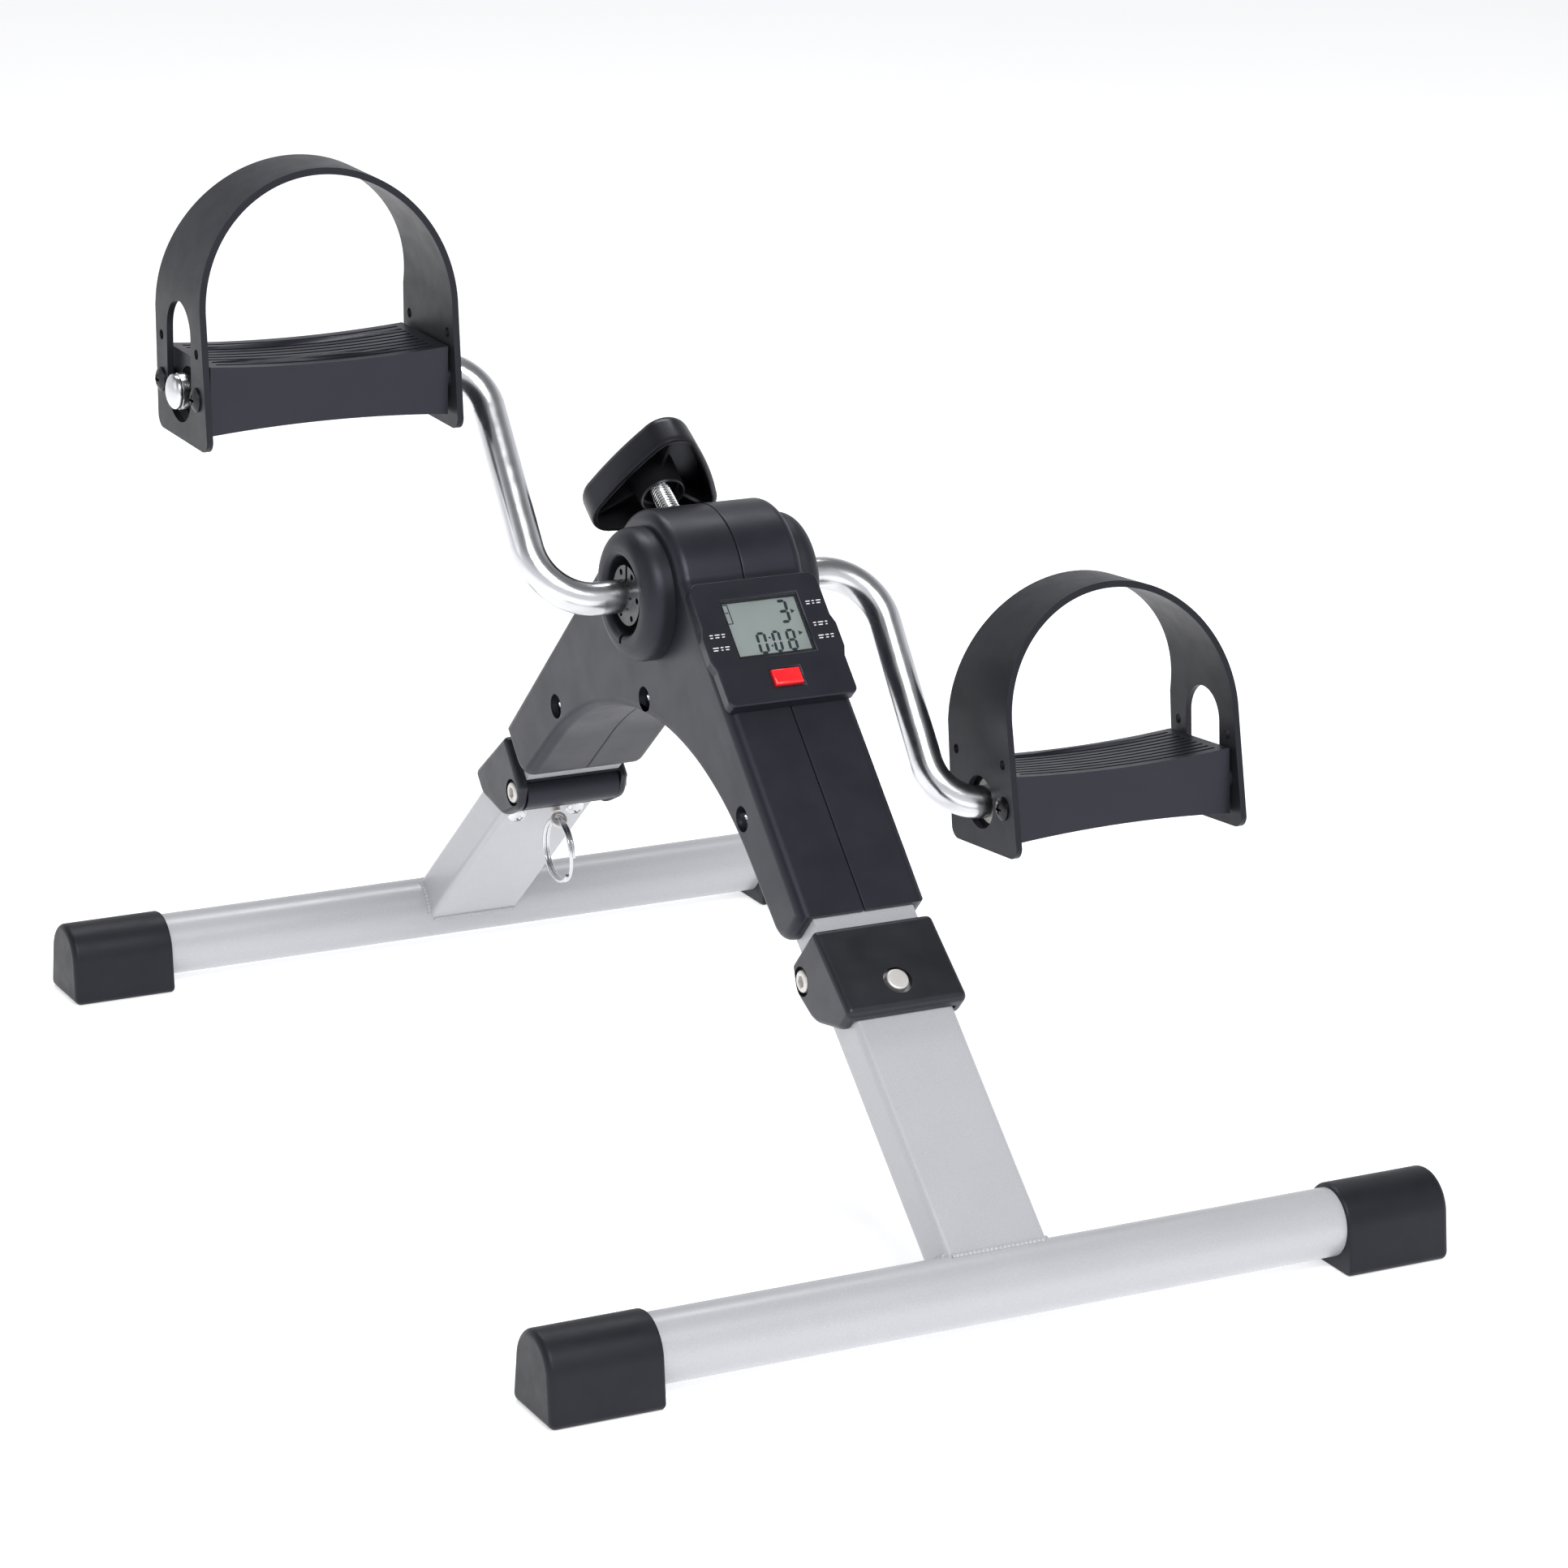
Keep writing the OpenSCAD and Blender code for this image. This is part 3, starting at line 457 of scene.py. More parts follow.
def carve(piece, *cutters):
    """Cuts each cutter, an object, out of a piece, and drops the cutter."""
    for cutter in cutters:
        boolean = piece.modifiers.new("cut", "BOOLEAN")
        boolean.object = cutter
        boolean.solver = "MANIFOLD"
        bpy.context.view_layer.update()
        whole = piece.evaluated_get(bpy.context.evaluated_depsgraph_get())
        mesh = bpy.data.meshes.new_from_object(whole)
        piece.modifiers.clear()
        piece.data = mesh
        bpy.data.objects.remove(cutter)


def rod_cutter(place, centre, direction, radius, half):
    """A round cutter along a direction of the given frame; lengths in mm."""
    bm = bmesh.new()
    turned(bm, [(radius, -half), (radius, half)], 48)
    turn = Vector(direction).to_track_quat("Z", "Y").to_matrix().to_4x4()
    return piece_from(bm, "cutter", place @ Matrix.Translation(Vector(centre) * MM) @ turn)


def block_cutter(place, low, high):
    """A box cutter in the given frame; lengths in mm."""
    bm = bmesh.new()
    (x0, y0, z0), (x1, y1, z1) = low, high
    corners = ((x0, y0), (x1, y0), (x1, y1), (x0, y1))
    rings = [[(x * MM, y * MM, z * MM) for x, y in corners] for z in (z0, z1)]
    loft(bm, rings, cap_start=True, cap_end=True)
    return piece_from(bm, "cutter", place)


def reshaped(node, *cuts, smooth=34):
    """A copy of a CAD node with its sharp edges rounded over, which stands for that node.

    Each cut is (width in mm, segments, test for an edge or None for every sharp edge); a
    negative width rounds by that much even where short edges would hold it back."""
    bm = bmesh.new()
    bm.from_mesh(frame["nodes"][node].data)
    bmesh.ops.remove_doubles(bm, verts=bm.verts, dist=0.002 * MM)
    bmesh.ops.dissolve_limit(bm, angle_limit=math.radians(0.6), verts=bm.verts, edges=bm.edges)
    for width, segments, wanted in cuts:
        edges = [
            edge for edge in bm.edges
            if len(edge.link_faces) == 2 and edge.calc_face_angle(0) > SHARP
            and (wanted is None or wanted(edge))]
        bmesh.ops.bevel(
            bm, geom=edges, offset=abs(width) * MM, offset_type="OFFSET", segments=segments,
            profile=0.5, affect="EDGES", clamp_overlap=width > 0)
    piece = piece_from(bm, node + "_shaped")
    finish_piece(piece, BODY_OF[node], SLOT_OF[node], smooth=smooth)
    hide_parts(node)


# ---------------------------------------------------------------- pieces

def dress_nodes():
    """Gives every CAD node the material of its slot; the collars are darker than their slot."""
    for name, node in frame["nodes"].items():
        for holder in node.material_slots:
            holder.material = LOOKS["dark_steel" if name == "axle_collars" else SLOT_OF[name]]


def shape_housing():
    """Wide fillets round both sides, and a V groove where the halves meet."""
    side_x, screw_clear, hub_clear = 26, 6.5 * MM, 18.5 * MM

    def rim(edge):
        clear = all(away_from(edge, y * MM, z * MM, screw_clear) for y, z in SCREW_SPOTS)
        return on_plane(edge, side_x) and clear and away_from(edge, HUB.y, HUB.z, hub_clear)

    for name in ("housing_left", "housing_right"):
        reshaped(name, (-4.2, 6, rim), (-0.55, 2, lambda edge: on_plane(edge, 0.05, 0.01)))


def rounded(corners, steps=7):
    """A polygon with an arc at every corner; corners are (u, v, radius)."""
    points = []
    for i, (u, v, radius) in enumerate(corners):
        corner = Vector((u, v))
        back = (Vector(corners[i - 1][:2]) - corner).normalized()
        ahead = (Vector(corners[(i + 1) % len(corners)][:2]) - corner).normalized()
        half = back.angle(ahead) / 2
        reach = radius / math.tan(half)
        centre = corner + (back + ahead).normalized() * radius / math.sin(half)
        first = corner + back * reach - centre
        sweep = first.angle_signed(corner + ahead * reach - centre)
        for k in range(steps + 1):
            turn = -sweep * k / steps
            points.append(centre + Matrix.Rotation(turn, 2) @ first)
    return points


def shrunk(points, inset):
    """The same polygon with every point moved inward."""
    area = sum(a.x * b.y - b.x * a.y for a, b in zip(points, points[1:] + points[:1]))
    side = 1 if area > 0 else -1
    moved = []
    for i, point in enumerate(points):
        along = (points[(i + 1) % len(points)] - points[i - 1]).normalized()
        moved.append(point + side * inset * Vector((-along.y, along.x)))
    return moved


def shape_brackets():
    """Hinge brackets with soft edges all round, open on the inner side for the leg."""
    half, soft, steps = 24.4, 2.3, 5
    cheek, bore, sink = 20.9, 3.05, 5.6
    side_view = rounded([
        (-2.6, -8.8, 2), (21.5, -8.8, 2.6), (24.3, 28.7, 2.8),
        (13.5, 28.7, 7), (-3.2, 15.6, 14), (-7.7, 0, 8)])
    turns = [math.pi / 2 * i / steps for i in range(steps + 1)]
    profile = [(soft * (1 - math.sin(t)), -half + soft * (1 - math.cos(t))) for t in turns]
    profile += [(inset, -x) for inset, x in reversed(profile)]
    for end, rear in ENDS:
        name = end + "_bracket"
        place = slope_frame(rear)
        bm = bmesh.new()
        loft(bm, [[(x * MM, p.x * MM, p.y * MM) for p in shrunk(side_view, inset)]
                  for inset, x in profile], cap_start=True, cap_end=True)
        piece = piece_from(bm, name + "_cast", place)
        carve(
            piece,
            rod_cutter(place, (0, 0, 0), (1, 0, 0), bore, 30),
            rod_cutter(place, (half + 3, 0, 0), (1, 0, 0), sink, 5),
            rod_cutter(place, (-half - 3, 0, 0), (1, 0, 0), sink, 5),
            rod_cutter(place, (0, 22, PIN_DOWN + 0.25), (0, 1, 0), sink, 8),
            # room for the leg, its barrel and the head of the lock pin
            block_cutter(place, (-cheek, -40, 0.7), (cheek, 19.3, 60)),
            block_cutter(place, (-cheek - 0.05, -41, -9.8), (cheek + 0.05, 0.03, 61)),
            rod_cutter(place, (0, 0.01, 0.01), (1, 0, 0), 7.9, cheek - 0.05),
            block_cutter(place, (-6.4, 15, 10.3), (6.4, 22.5, 24.6)))
        finish_piece(piece, "frame", "black_steel", smooth=28)
        tongue = block_cutter(place, (-18.9, 2.5, -42), (18.9, 15.5, -8.8))
        tongue.name = name + "_tongue"
        finish_piece(tongue, "frame", "black_steel")
        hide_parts(name)


def build_pivots():
    """Pivot bolts: low domed heads with a hexagonal socket, sunk in the brackets."""
    profile = [
        (3, -24), (3, 22.4), (4.1, 22.5), (4.2, 23), (4.2, 24), (3.95, 24.5), (3.4, 24.8),
        (2.9, 24.85), (2.35, 24.75), (2.2, 24.6), (2.2, 23.2)]
    socket = 2.5  # points inside this radius follow a hexagon
    bm = bmesh.new()
    for _, rear in ENDS:
        side = 1 if rear else -1
        place = slope_frame(rear)
        rings = []
        for radius, x in profile:
            ring = []
            for i in range(48):
                turn = TAU * i / 48
                reach = radius * MM
                if radius < socket:
                    flat = (turn + math.pi / 6) % (math.pi / 3) - math.pi / 6
                    reach *= 0.94 / math.cos(flat)
                ring.append(place @ Vector((
                    side * x * MM, reach * math.cos(turn), reach * math.sin(turn))))
            rings.append(ring)
        loft(bm, rings, cap_start=True, cap_end=True)
    piece = piece_from(bm, "pivot_socket_bolts")
    finish_piece(piece, "frame", "chrome", LOOKS["nickel"], smooth=38)
    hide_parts("pivot_bolts")


def build_pins():
    """Lock pins: a chamfered head in the leg, a thin shank and a small eye for the ring."""
    shank = [
        (1.2, -4.6), (1.7, -4.4), (2, -4), (2, 14.8), (3.6, 15), (4.2, 15.6), (4.2, 23.3),
        (4.05, 23.6), (3.8, 23.75), (3.4, 23.8), (1.5, 23.8)]
    eye = [(3.5, -0.6), (3.2, -0.9), (2.2, -0.9), (1.9, -0.6),
           (1.9, 0.6), (2.2, 0.9), (3.2, 0.9), (3.5, 0.6)]
    eye_centre = Vector((0, -7.6 * MM, 0))
    for end, rear in ENDS:
        place = slope_frame(rear) @ Matrix.Translation((0, 0, PIN_DOWN * MM))
        bm = bmesh.new()
        turned(bm, shank, 48)
        bmesh.ops.transform(bm, matrix=Matrix.Rotation(-math.pi / 2, 4, "X"), verts=bm.verts)
        rings = []
        for i in range(40):
            turn = TAU * i / 40
            along = Vector((math.cos(turn), math.sin(turn), 0))
            rings.append([eye_centre + along * r * MM + Vector((0, 0, h * MM)) for r, h in eye])
        loft(bm, rings, closed=True)
        piece = piece_from(bm, end + "_pin_turned", place)
        finish_piece(piece, end + "_pin", "chrome", LOOKS["nickel"], smooth=35)
        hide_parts(end + "_lock_pin")


def foot_centre(rear):
    """Centre of the cross tube in its hinge's frame."""
    side = 1 if rear else -1
    return slope_frame(rear).inverted() @ Vector((0, side * FOOT_Y, FOOT_Z))


def saddle(foot, n):
    """Depth down the leg where the cross tube's skin is met, n out from the pivot."""
    return foot.z - math.sqrt(max(0, CROSS_R ** 2 - (n - foot.y) ** 2))


def leg_outline(inset):
    """Rounded rectangle of the leg tube in (x, n), metres."""
    corner = 2.6 * MM
    radius = corner - inset
    middle_n = (LEG_N[0] + LEG_N[1]) / 2
    half_n = (LEG_N[1] - LEG_N[0]) / 2 - corner
    centres = [
        Vector((x * (LEG_X - corner), middle_n + n * half_n))
        for x, n in ((1, 1), (-1, 1), (-1, -1), (1, -1))]
    points = []
    for k, centre in enumerate(centres):
        for i in range(7):
            turn = math.pi / 2 * (k + i / 6)
            out = radius * Vector((math.cos(turn), math.sin(turn)))
            points.append(centre + out)
        target = centres[(k + 1) % 4]
        points += [centre.lerp(target, i / 9) + out for i in range(1, 9)]
    return points


def shape_legs():
    """Rectangular tubes with rolled corners, a barrel notch above and a saddle cut below."""
    wall, notch = 1.5 * MM, 7.65 * MM
    back_n, back_top = 5 * MM, 5.05 * MM
    holes = ((0, PIN_DOWN, 2.1), (13, 26, 1.9), (-13, 26, 1.9))  # (x, down, radius), inner face

    def top(n):
        barrel = math.sqrt(max(0, notch ** 2 - n ** 2))
        return max(1 * MM, barrel, back_top if n < back_n else 0)

    outside, inside = leg_outline(0), leg_outline(wall)
    for end, rear in ENDS:
        name = end + "_leg"
        place = slope_frame(rear)
        foot = foot_centre(rear)
        rings = [
            [(p.x, p.y, top(p.y)) for p in outside],
            [(p.x, p.y, saddle(foot, p.y)) for p in outside],
            [(p.x, p.y, saddle(foot, p.y)) for p in inside],
            [(p.x, p.y, top(p.y)) for p in inside]]
        bm = bmesh.new()
        loft(bm, rings, closed=True)
        piece = piece_from(bm, name + "_tube", place)
        carve(
            piece, rod_cutter(place, (0, 18, PIN_DOWN), (0, 1, 0), 4.26, 6),
            *(rod_cutter(place, (x, 2, z), (0, 1, 0), r, 3) for x, z, r in holes))
        finish_piece(piece, BODY_OF[name], SLOT_OF[name], smooth=30)
        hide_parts(name)


def shape_caps():
    """Rubber foot caps, lofted with soft edges all round and a bore for the tube."""
    radius, bore_radius = CROSS_R + 1.7 * MM, CROSS_R + 0.05 * MM
    sole, soft, end_wall = 16 * MM, 2.6 * MM, 5 * MM
    rise = math.asin(0.06)

    def outline(inset):
        """Arch over a flat sole, round (y, z) = 0, which is the tube's centre."""
        points = []
        for i in range(33):
            turn = rise + (math.pi - 2 * rise) * i / 32
            points.append(((radius - inset) * math.cos(turn), (radius - inset) * math.sin(turn)))
        corner, shift = soft - 0.7 * inset, 0.3 * inset
        for side, start in ((-1, math.pi), (1, 1.5 * math.pi)):
            for i in range(7):
                turn = start + math.pi / 2 * i / 6
                points.append((side * (sole - soft - shift) + corner * math.cos(turn),
                               soft + shift - FOOT_Z + corner * math.sin(turn)))
        return points

    for name in (end + "_cap_" + hand for end, _ in ENDS for hand in ("left", "right")):
        centre = middle(name)
        outward = 1 if centre.x > 0 else -1
        mouth, tip = sorted(abs(corner[0]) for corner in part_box(name))
        foot = Vector((0, centre.y, FOOT_Z))
        profile = [
            (1.4 * MM, mouth), (0.5 * MM, mouth + 0.1 * MM), (0, mouth + 1 * MM),
            (0, mouth + 12 * MM), (0, tip - 12 * MM)]
        for i in range(7):
            turn = math.pi / 2 * i / 6
            profile.append((soft * (1 - math.cos(turn)), tip - soft + soft * math.sin(turn)))
        bm = bmesh.new()
        rim = loft(bm, [[foot + Vector((outward * x, y, z)) for y, z in outline(inset)]
                        for inset, x in profile], cap_end=True)[0]
        bore = []
        for x in (mouth, tip - end_wall):
            turns = [math.atan2(z, y) for y, z in outline(0)]
            bore.append([
                bm.verts.new(foot + Vector((
                    outward * x, bore_radius * math.cos(turn), bore_radius * math.sin(turn))))
                for turn in turns])
        for i in range(len(rim)):
            j = (i + 1) % len(rim)
            bm.faces.new((rim[i], rim[j], bore[0][j], bore[0][i]))
            bm.faces.new((bore[0][i], bore[0][j], bore[1][j], bore[1][i]))
        bm.faces.new(bore[1])
        piece = piece_from(bm, name + "_moulded")
        finish_piece(piece, BODY_OF[name], SLOT_OF[name], smooth=40)
        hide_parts(name)


def shape_pedals():
    """Treads and loops with their edges broken."""
    for hand in ("left", "right"):
        reshaped(hand + "_tread", (0.45, 2, None), smooth=40)
        reshaped(hand + "_loop", (0.7, 3, None), smooth=40)


def stands_over(edge, height):
    """True where both ends of an edge are higher than height mm over the display's face."""
    return all((face_frame().inverted() @ vert.co).z > height * MM for vert in edge.verts)


def shape_display():
    """Display case and button with soft front edges."""
    reshaped("display_case", (0.9, 3, lambda edge: stands_over(edge, -0.05)), smooth=40)
    reshaped("reset_button", (0.9, 3, lambda edge: stands_over(edge, 1.1)), smooth=40)


def knob_outline(inset):
    """Three lobes joined by flats that swell a little; inset in metres."""
    reach, radius, swell = 18 * MM, 11 * MM - inset, 0.9 * MM
    heading = [math.radians(30 + 120 * lobe) for lobe in range(4)]
    centres = [Vector((math.cos(turn), math.sin(turn))) * reach for turn in heading]
    points = []
    for lobe in range(3):
        for i in range(17):
            turn = heading[lobe] + math.radians(-60 + 120 * i / 16)
            normal = Vector((math.cos(turn), math.sin(turn)))
            points.append(centres[lobe] + radius * normal)
        for i in range(1, 12):
            t = i / 12
            bulge = swell * (1 - (2 * t - 1) ** 2)
            points.append(centres[lobe].lerp(centres[lobe + 1], t) + normal * (radius + bulge))
    return points


def build_knob():
    """Hollow three-lobed hand knob: soft outer edges, hollow boss and three thin ribs inside."""
    start, rib_top, rib_half = 50, 12.6, 0.65
    shell = [
        (2.8, 12.4), (2.5, 1.0), (2.2, 0.3), (1.6, 0), (0.9, 0), (0.3, 0.3), (0.05, 1.0),
        (0, 2.5), (0.25, 10.4), (0.6, 12), (1.3, 13.2), (2.3, 14.0), (3.6, 14.4), (5.5, 14.5)]
    boss = [
        (9.8, 12.5), (9.1, -1.4), (8.95, -2.1), (8.6, -2.5), (8.2, -2.3), (8.0, -1.6),
        (7.9, 1.2), (7.2, 1.8), (4.05, 1.9), (4.05, 10.5)]
    bm = bmesh.new()
    loft(bm, [[(p.x, p.y, (start + z) * MM) for p in knob_outline(inset * MM)]
              for inset, z in shell], cap_start=True, cap_end=True)
    turned(bm, [(radius, start + z) for radius, z in boss], 64)
    for lobe in range(3):
        turn = Matrix.Rotation(math.radians(30 + 120 * lobe), 3, "Z")
        rings = []
        for x, low in ((8.9, 5.2), (17, 4.4), (26.4, 3.6)):
            corners = [(x, -rib_half, low), (x, rib_half, low), (x, rib_half, rib_top),
                       (x, -rib_half, rib_top)]
            rings.append([turn @ Vector((x, y, start + z)) * MM for x, y, z in corners])
        loft(bm, rings, cap_start=True, cap_end=True)
    piece = piece_from(bm, "knob_moulded", screw_frame())
    finish_piece(piece, "knob", "gloss_plastic", smooth=38)
    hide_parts("tension_knob")


def build_screw():
    """M8 tension screw with its rolled thread."""
    pitch, major, minor = 1.25 * MM, 4.0 * MM, 3.3 * MM
    start, end, lead_in = 19 * MM, 59 * MM, 0.8 * MM
    sides, rows = 36, int((end - start) / (pitch / 8))
    bm = bmesh.new()
    rings = []
    for row in range(rows + 1):
        z = start + (end - start) * row / rows
        ring = []
        for k in range(sides):
            phase = (z / pitch - k / sides) % 1
            depth = max(0, min(1, 2.6 * abs(phase - 0.5) - 0.15))
            radius = major - (major - minor) * depth
            radius = min(radius, major - 0.9 * MM * max(0, 1 - (z - start) / lead_in))
            turn = TAU * k / sides
            ring.append((radius * math.cos(turn), radius * math.sin(turn), z))
        rings.append(ring)
    loft(bm, rings, cap_start=True, cap_end=True)
    piece = piece_from(bm, "screw_thread", screw_frame())
    finish_piece(piece, "knob", "chrome", LOOKS["bright_thread"], smooth=50)
    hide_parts("tension_screw")


def build_rings():
    """Split key rings: two close turns of thin wire through the lock pin's eye."""
    radius, wire, shift = 12.8 * MM, 0.76 * MM, 0.78 * MM
    for end, _ in ENDS:
        centre = middle(end + "_pull_ring")
        path = []
        for i in range(4, 141):
            turn = TAU * i / 72 + math.radians(200)
            side = -shift + 2 * shift * min(1, max(0, (i - 64) / 16))
            path.append(centre + Vector((side, radius * math.cos(turn), radius * math.sin(turn))))
        bm = bmesh.new()
        tube(bm, path, wire, 12)
        piece = piece_from(bm, end + "_split_ring")
        finish_piece(piece, end + "_ring", "chrome", smooth=50)
        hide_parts(end + "_pull_ring")


def build_nuts():
    """Domed lock nuts on the spindle ends."""
    seat, flat, corner = 186.2 * MM, 6.4, 7.3
    dome = [
        (6.5, 3.2), (6.6, 3.5), (6.6, 4.4), (6.3, 5.0), (5.6, 5.6), (4.5, 6.15), (3.2, 6.5),
        (1.8, 6.72), (0.7, 6.8)]
    hexagon = []
    for inset, z in ((0.5, 0), (0, 0.3), (0, 2.9), (0.6, 3.3)):
        ring = []
        for turn in (TAU * (i + share) / 6 for i in range(6) for share in (-0.32, -0.16, 0.16, 0.32)):
            local = (turn + math.pi / 6) % (math.pi / 3) - math.pi / 6
            reach = min(flat / math.cos(math.pi / 6 - abs(local)), corner) - inset
            ring.append((reach * MM * math.cos(turn), reach * MM * math.sin(turn), z * MM))
        hexagon.append(ring)
    lay = Matrix.Translation((seat, 0, 0)) @ Matrix.Rotation(math.pi / 2, 4, "Y")
    bm = bmesh.new()
    for left in (True, False):
        part = bmesh.new()
        loft(part, hexagon, cap_start=True, cap_end=True)
        turned(part, dome, 48)
        merge(bm, part, spindle_frame(left) @ lay)
    piece = piece_from(bm, "spindle_domes")
    finish_piece(piece, "crank", "chrome", smooth=40)
    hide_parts("spindle_nuts")


def build_housing_screws():
    """Housing screws, sunk in their recesses: a domed zinc head with a cross slot."""
    slot_half, slot_reach, slot_depth, slot_from = 0.55, 2.6, 1.3, 23
    profile = [
        (1.9, 8.2), (1.9, 20.6), (4.2, 20.65), (4.3, 21.2), (4.25, 22.2), (3.9, 22.8),
        (3.2, 23.2), (2.2, 23.45), (1.2, 23.6), (0.4, 23.6)]
    rings = []
    for radius, height in profile:
        ring = []
        for turn in (TAU * k / 48 for k in range(48)):
            x, y = radius * math.cos(turn), radius * math.sin(turn)
            in_slot = min(abs(x), abs(y)) < slot_half and max(abs(x), abs(y)) < slot_reach
            drop = slot_depth if in_slot and height > slot_from else 0
            ring.append((x * MM, y * MM, (height - drop) * MM))
        rings.append(ring)
    bm = bmesh.new()
    for y, z in SCREW_SPOTS:
        part = bmesh.new()
        loft(part, rings, cap_start=True, cap_end=True)
        lay = Matrix.Rotation(-math.pi / 2, 4, "Y")
        merge(bm, part, Matrix.Translation((0, y * MM, z * MM)) @ lay)
    piece = piece_from(bm, "housing_screw_heads")
    finish_piece(piece, "frame", "chrome", LOOKS["bright_thread"], smooth=40)
    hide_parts("housing_screws")


def build_springs():
    """Coil springs behind the lock pins, in the plugs' bores; the real springs flatten as a pin is
    pulled, these keep one length.
    """
    radius, wire, base, length = 3.1, 0.45, 5.5, 9
    for end, rear in ENDS:
        place = slope_frame(rear)
        path = []
        for i in range(181):
            turn = TAU * i / 30
            path.append(Vector((
                radius * math.cos(turn), base + length * i / 180,
                PIN_DOWN + radius * math.sin(turn))) * MM)
        bm = bmesh.new()
        tube(bm, path, wire * MM, 8)
        piece = piece_from(bm, end + "_coil", place)
        finish_piece(piece, end + "_foot", "steel", smooth=50)
        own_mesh(piece)
        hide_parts(end + "_pin_spring")


def build_welds():
    """Weld beads where each leg meets its cross tube."""
    def bead(bm, path):
        """One bead; the ripples come at the same spacing on long and short beads."""
        steps = len(path) - 1
        tube(bm, path, lambda share: (0.95 + 0.22 * math.sin(share * steps * 1.9)) * MM, 10)

    for end, rear in ENDS:
        foot = foot_centre(rear)
        bm = bmesh.new()
        for n in LEG_N:
            depth = saddle(foot, n)
            bead(bm, [Vector(((-18.5 + 37 * i / 72) * MM, n, depth)) for i in range(73)])
        for hand in (-1, 1):
            across = [(2.4 + 15 * i / 36) * MM for i in range(37)]
            bead(bm, [Vector((hand * LEG_X, n, saddle(foot, n))) for n in across])
        piece = piece_from(bm, end + "_weld", slope_frame(rear))
        finish_piece(piece, end + "_foot", "silver_paint", smooth=60)


SEGMENTS = {"0": "abcdef", "3": "abcdg", "8": "abcdefg"}


def stroke(bm, start, end, half, height, slant=0.0):
    """A flat bar with pointed ends between two points of the face, in mm."""
    thickness = 0.03
    start, end = Vector(start), Vector(end)
    along = (end - start).normalized()
    side = Vector((-along.y, along.x)) * half
    tip = along * half
    points = [
        start, start + tip + side, end - tip + side, end, end - tip - side, start + tip - side]
    loft(bm, [[((p.x + slant * p.y) * MM, p.y * MM, z * MM) for p in points]
              for z in (height, height + thickness)], cap_start=True, cap_end=True)


def draw_digit(bm, digit, left, right, low, high, half, height):
    """One slanted seven-segment digit within the given edges, in mm."""
    slant, gap = 0.06, 0.12
    centre = (low + high) / 2
    ends = {
        "a": ((left, high), (right, high)), "b": ((right, centre), (right, high)),
        "c": ((right, low), (right, centre)), "d": ((left, low), (right, low)),
        "e": ((left, low), (left, centre)), "f": ((left, centre), (left, high)),
        "g": ((left, centre), (right, centre))}
    for name in SEGMENTS[digit]:
        start, end = (Vector(point) for point in ends[name])
        short = (end - start).normalized() * gap
        stroke(bm, start + short, end - short, half, height, slant)


def build_screen():
    """Liquid-crystal digits, pointers and the battery bar, just over the panel."""
    height = -2.0
    bars = (
        ((-14.9, 8.9), (-14.9, 17)), ((-12.8, 8.9), (-12.8, 17)), ((-15.1, 17), (-12.6, 17)),
        ((-15.1, 8.9), (-12.6, 8.9)), ((-14.6, 13.6), (-13.1, 13.6)))
    bm = bmesh.new()
    draw_digit(bm, "3", 6.6, 9.9, 7.2, 16.1, 0.62, height)
    for digit, left, right in (("0", -5.3, -2.3), ("0", 1.1, 3.6), ("8", 6.9, 9.8)):
        draw_digit(bm, digit, left, right, -4.7, 3.5, 0.56, height)
    for y in (1.3, -2.2):
        stroke(bm, (-0.9, y), (0.2, y), 0.5, height)
    for y in (11.4, 1.9):
        pointer = ((12, y - 1), (13.7, y), (12, y + 1))
        loft(bm, [[(px * MM, py * MM, z * MM) for px, py in pointer]
                  for z in (height, height + 0.03)], cap_start=True, cap_end=True)
    for start, end in bars:
        stroke(bm, start, end, 0.22, height)
    piece = piece_from(bm, "lcd_digits", face_frame())
    finish_piece(piece, "frame", "lcd_glass", LOOKS["lcd_ink"], smooth=20)


def build_marks():
    """Plain white pad-printed signs beside the window; they spell nothing."""
    signs = (
        (18.2, 13.2, (2.0, 1.2, 2.2)), (18.2, 3.9, (1.4, 2.4, 1.2)), (18.4, -1.7, (2.4, 1.6, 1.5)),
        (-25.0, 3.5, (1.6, 2.2, 1.6)), (-25.4, -1.9, (2.6, 1.3, 2.0)))
    rise, half, gap = 0.55, 0.22, 0.55
    bm = bmesh.new()
    for x, y, lengths in signs:
        for length in lengths:
            stroke(bm, (x, y + rise), (x + length, y + rise), half, 0)
            stroke(bm, (x, y - rise), (x + length * 0.8, y - rise), half, 0)
            x += length + gap
    piece = piece_from(bm, "case_marks", face_frame())
    finish_piece(piece, "frame", "black_plastic", LOOKS["print_ink"], smooth=20)


dress_nodes()
shape_housing()
shape_brackets()
shape_legs()
shape_caps()
shape_pedals()
shape_display()
build_knob()
build_screw()
build_rings()
build_nuts()
build_pins()
build_pivots()
build_housing_screws()
build_springs()
build_welds()
build_screen()
build_marks()


# ---------------------------------------------------------------- stage, light and camera

def build_stage():
    """Pale floor that glows a little, so that it stays near white."""
    bpy.ops.mesh.primitive_plane_add(size=24)
    floor = bpy.context.object
    floor.name = "floor"
    made = Shader("floor")
    made.mottled(3, (0.86, 0.86, 0.865), (0.88, 0.88, 0.885))
    made.roughness(made.ramp(made.noise(8), 0.65, 0.75))
    made.set(Emission_Color=(1, 1, 1, 1), Emission_Strength=0.55, Specular_IOR_Level=0.0)
    floor.data.materials.append(made.material)


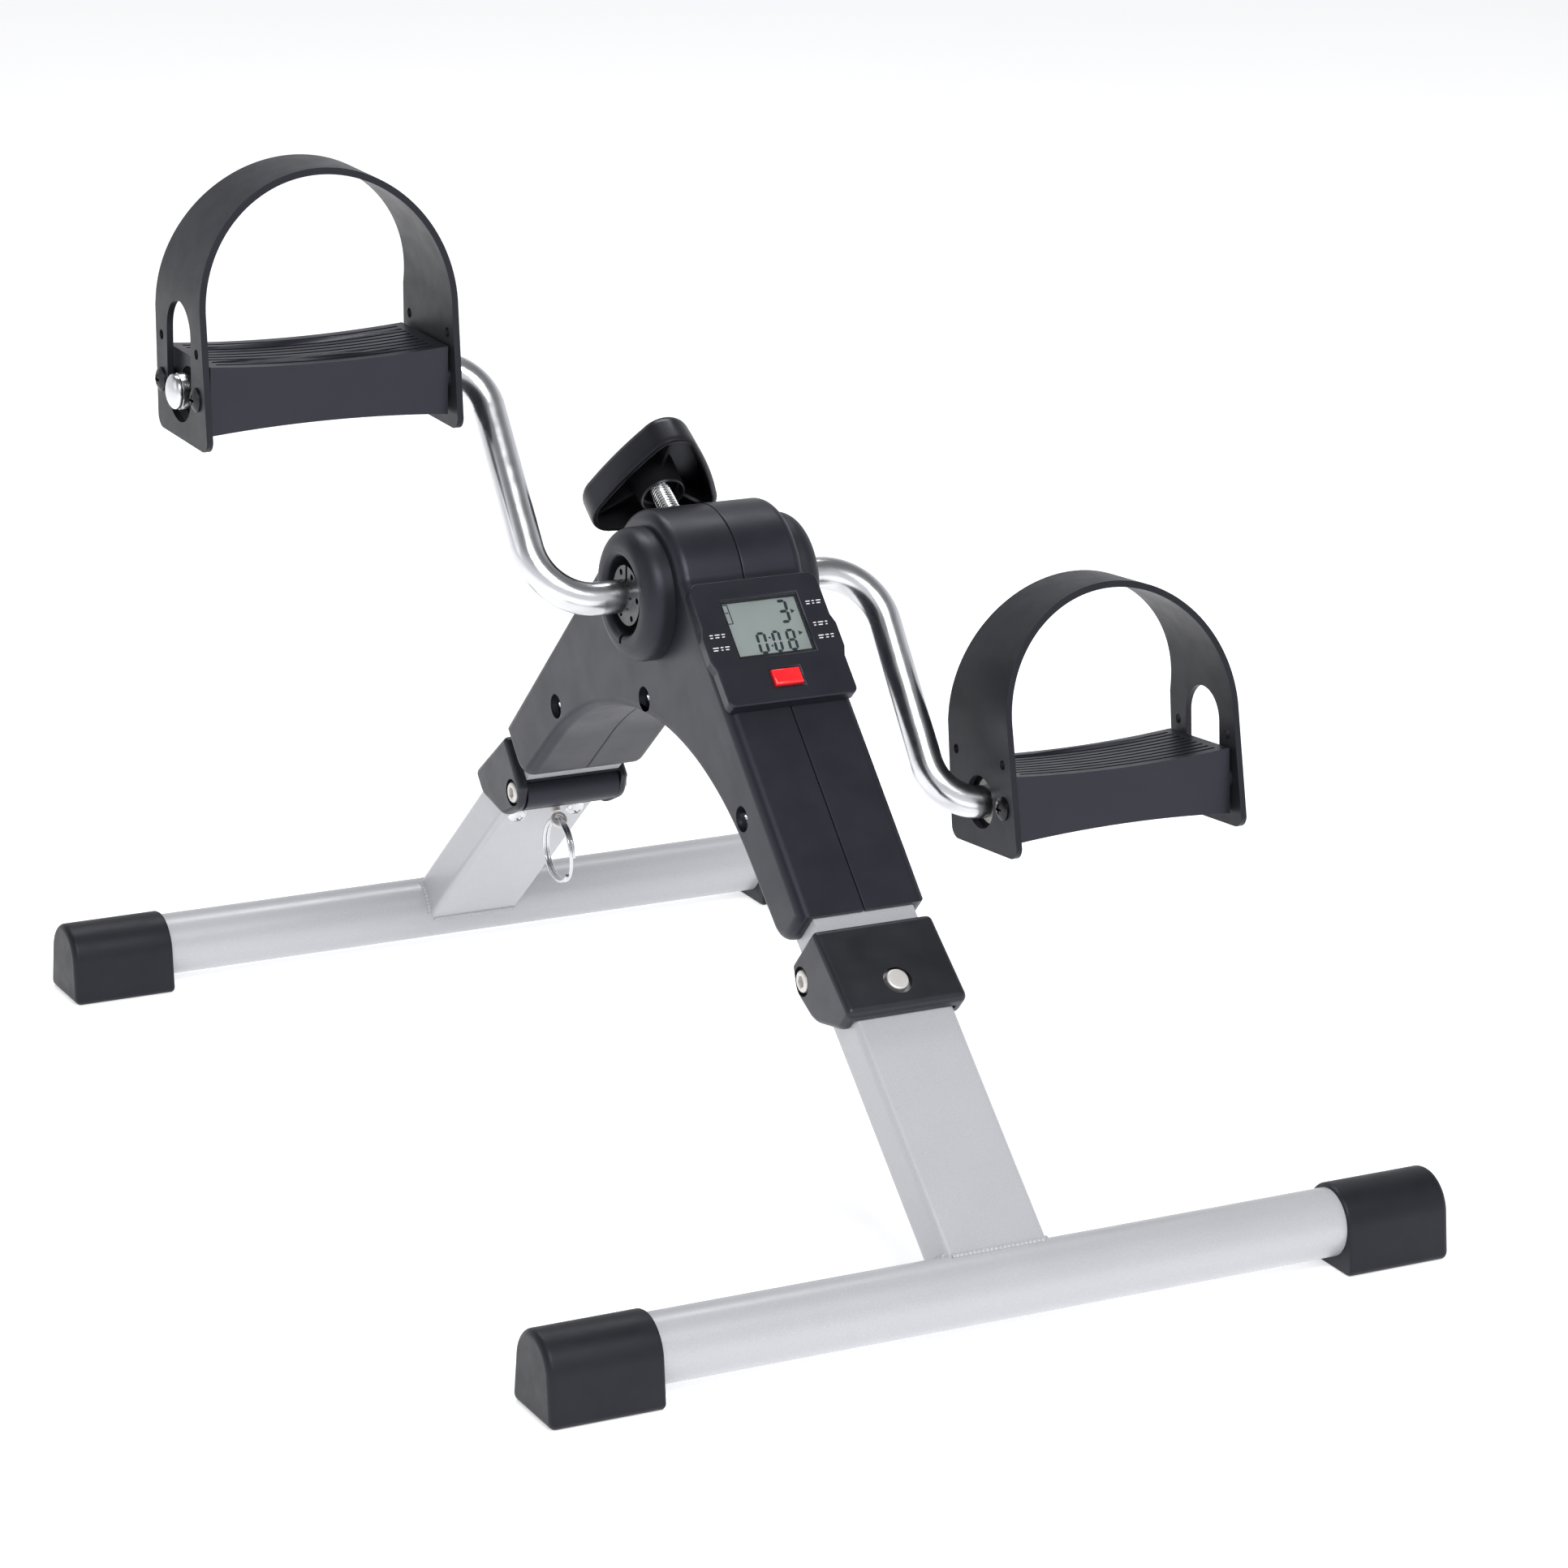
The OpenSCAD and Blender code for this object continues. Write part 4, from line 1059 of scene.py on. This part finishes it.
def area_light(name, place, aim, size, power):
    """A rectangular lamp that faces a point."""
    light = bpy.data.lights.new(name, "AREA")
    light.shape = "RECTANGLE"
    light.size, light.size_y = size
    light.energy = power
    holder = bpy.data.objects.new(name, light)
    holder.location = place
    holder.rotation_euler = (Vector(aim) - Vector(place)).to_track_quat("-Z", "Y").to_euler()
    bpy.context.scene.collection.objects.link(holder)


def build_light():
    """A sky that fades upward, and three soft lamps."""
    world = bpy.data.worlds.new("studio")
    bpy.context.scene.world = world
    world.use_nodes = True
    tree = world.node_tree
    background = tree.nodes["Background"]
    background.inputs["Color"].default_value = (0.955, 0.965, 1, 1)
    place = tree.nodes.new("ShaderNodeTexCoord")
    split = tree.nodes.new("ShaderNodeSeparateXYZ")
    fade = tree.nodes.new("ShaderNodeMapRange")
    fade.interpolation_type = "SMOOTHSTEP"
    for name, value in (("From Min", 0.14), ("From Max", 0.75), ("To Min", 0.85), ("To Max", 0.2)):
        fade.inputs[name].default_value = value
    tree.links.new(place.outputs["Generated"], split.inputs["Vector"])
    tree.links.new(split.outputs["Z"], fade.inputs["Value"])
    tree.links.new(fade.outputs["Result"], background.inputs["Strength"])
    bpy.context.scene.view_settings.view_transform = "Standard"
    area_light("left", (-2.2, 0.5, 1.2), (0, 0, 0.15), (1.0, 1.6), 2.5)
    area_light("front", (-0.2, -1.95, 2.05), (0, 0, 0.1), (1.6, 0.8), 46)
    area_light("top", (0.3, 1.0, 2.2), (0, 0, 0.15), (1.4, 0.5), 20)


def build_camera():
    """Long lens from the front left, a little above."""
    yaw, pitch, roll = math.radians(27.288), math.radians(16.941), math.radians(0.8345)
    ahead = Vector((math.sin(yaw) * math.cos(pitch), math.cos(yaw) * math.cos(pitch), -math.sin(pitch)))
    right = Vector((math.cos(yaw), -math.sin(yaw), 0))
    up = right.cross(ahead)
    tilted_right = right * math.cos(roll) + up * math.sin(roll)
    tilted_up = up * math.cos(roll) - right * math.sin(roll)
    data = bpy.data.cameras.new("camera")
    data.sensor_width = 36
    data.lens = 116.9
    data.clip_start = 0.05
    camera = bpy.data.objects.new("camera", data)
    turn = Matrix((tilted_right, tilted_up, -ahead)).transposed().to_4x4()
    camera.matrix_world = Matrix.Translation((-0.83027, -1.67431, 0.70414)) @ turn
    bpy.context.scene.collection.objects.link(camera)
    bpy.context.scene.camera = camera


build_stage()
build_light()
build_camera()
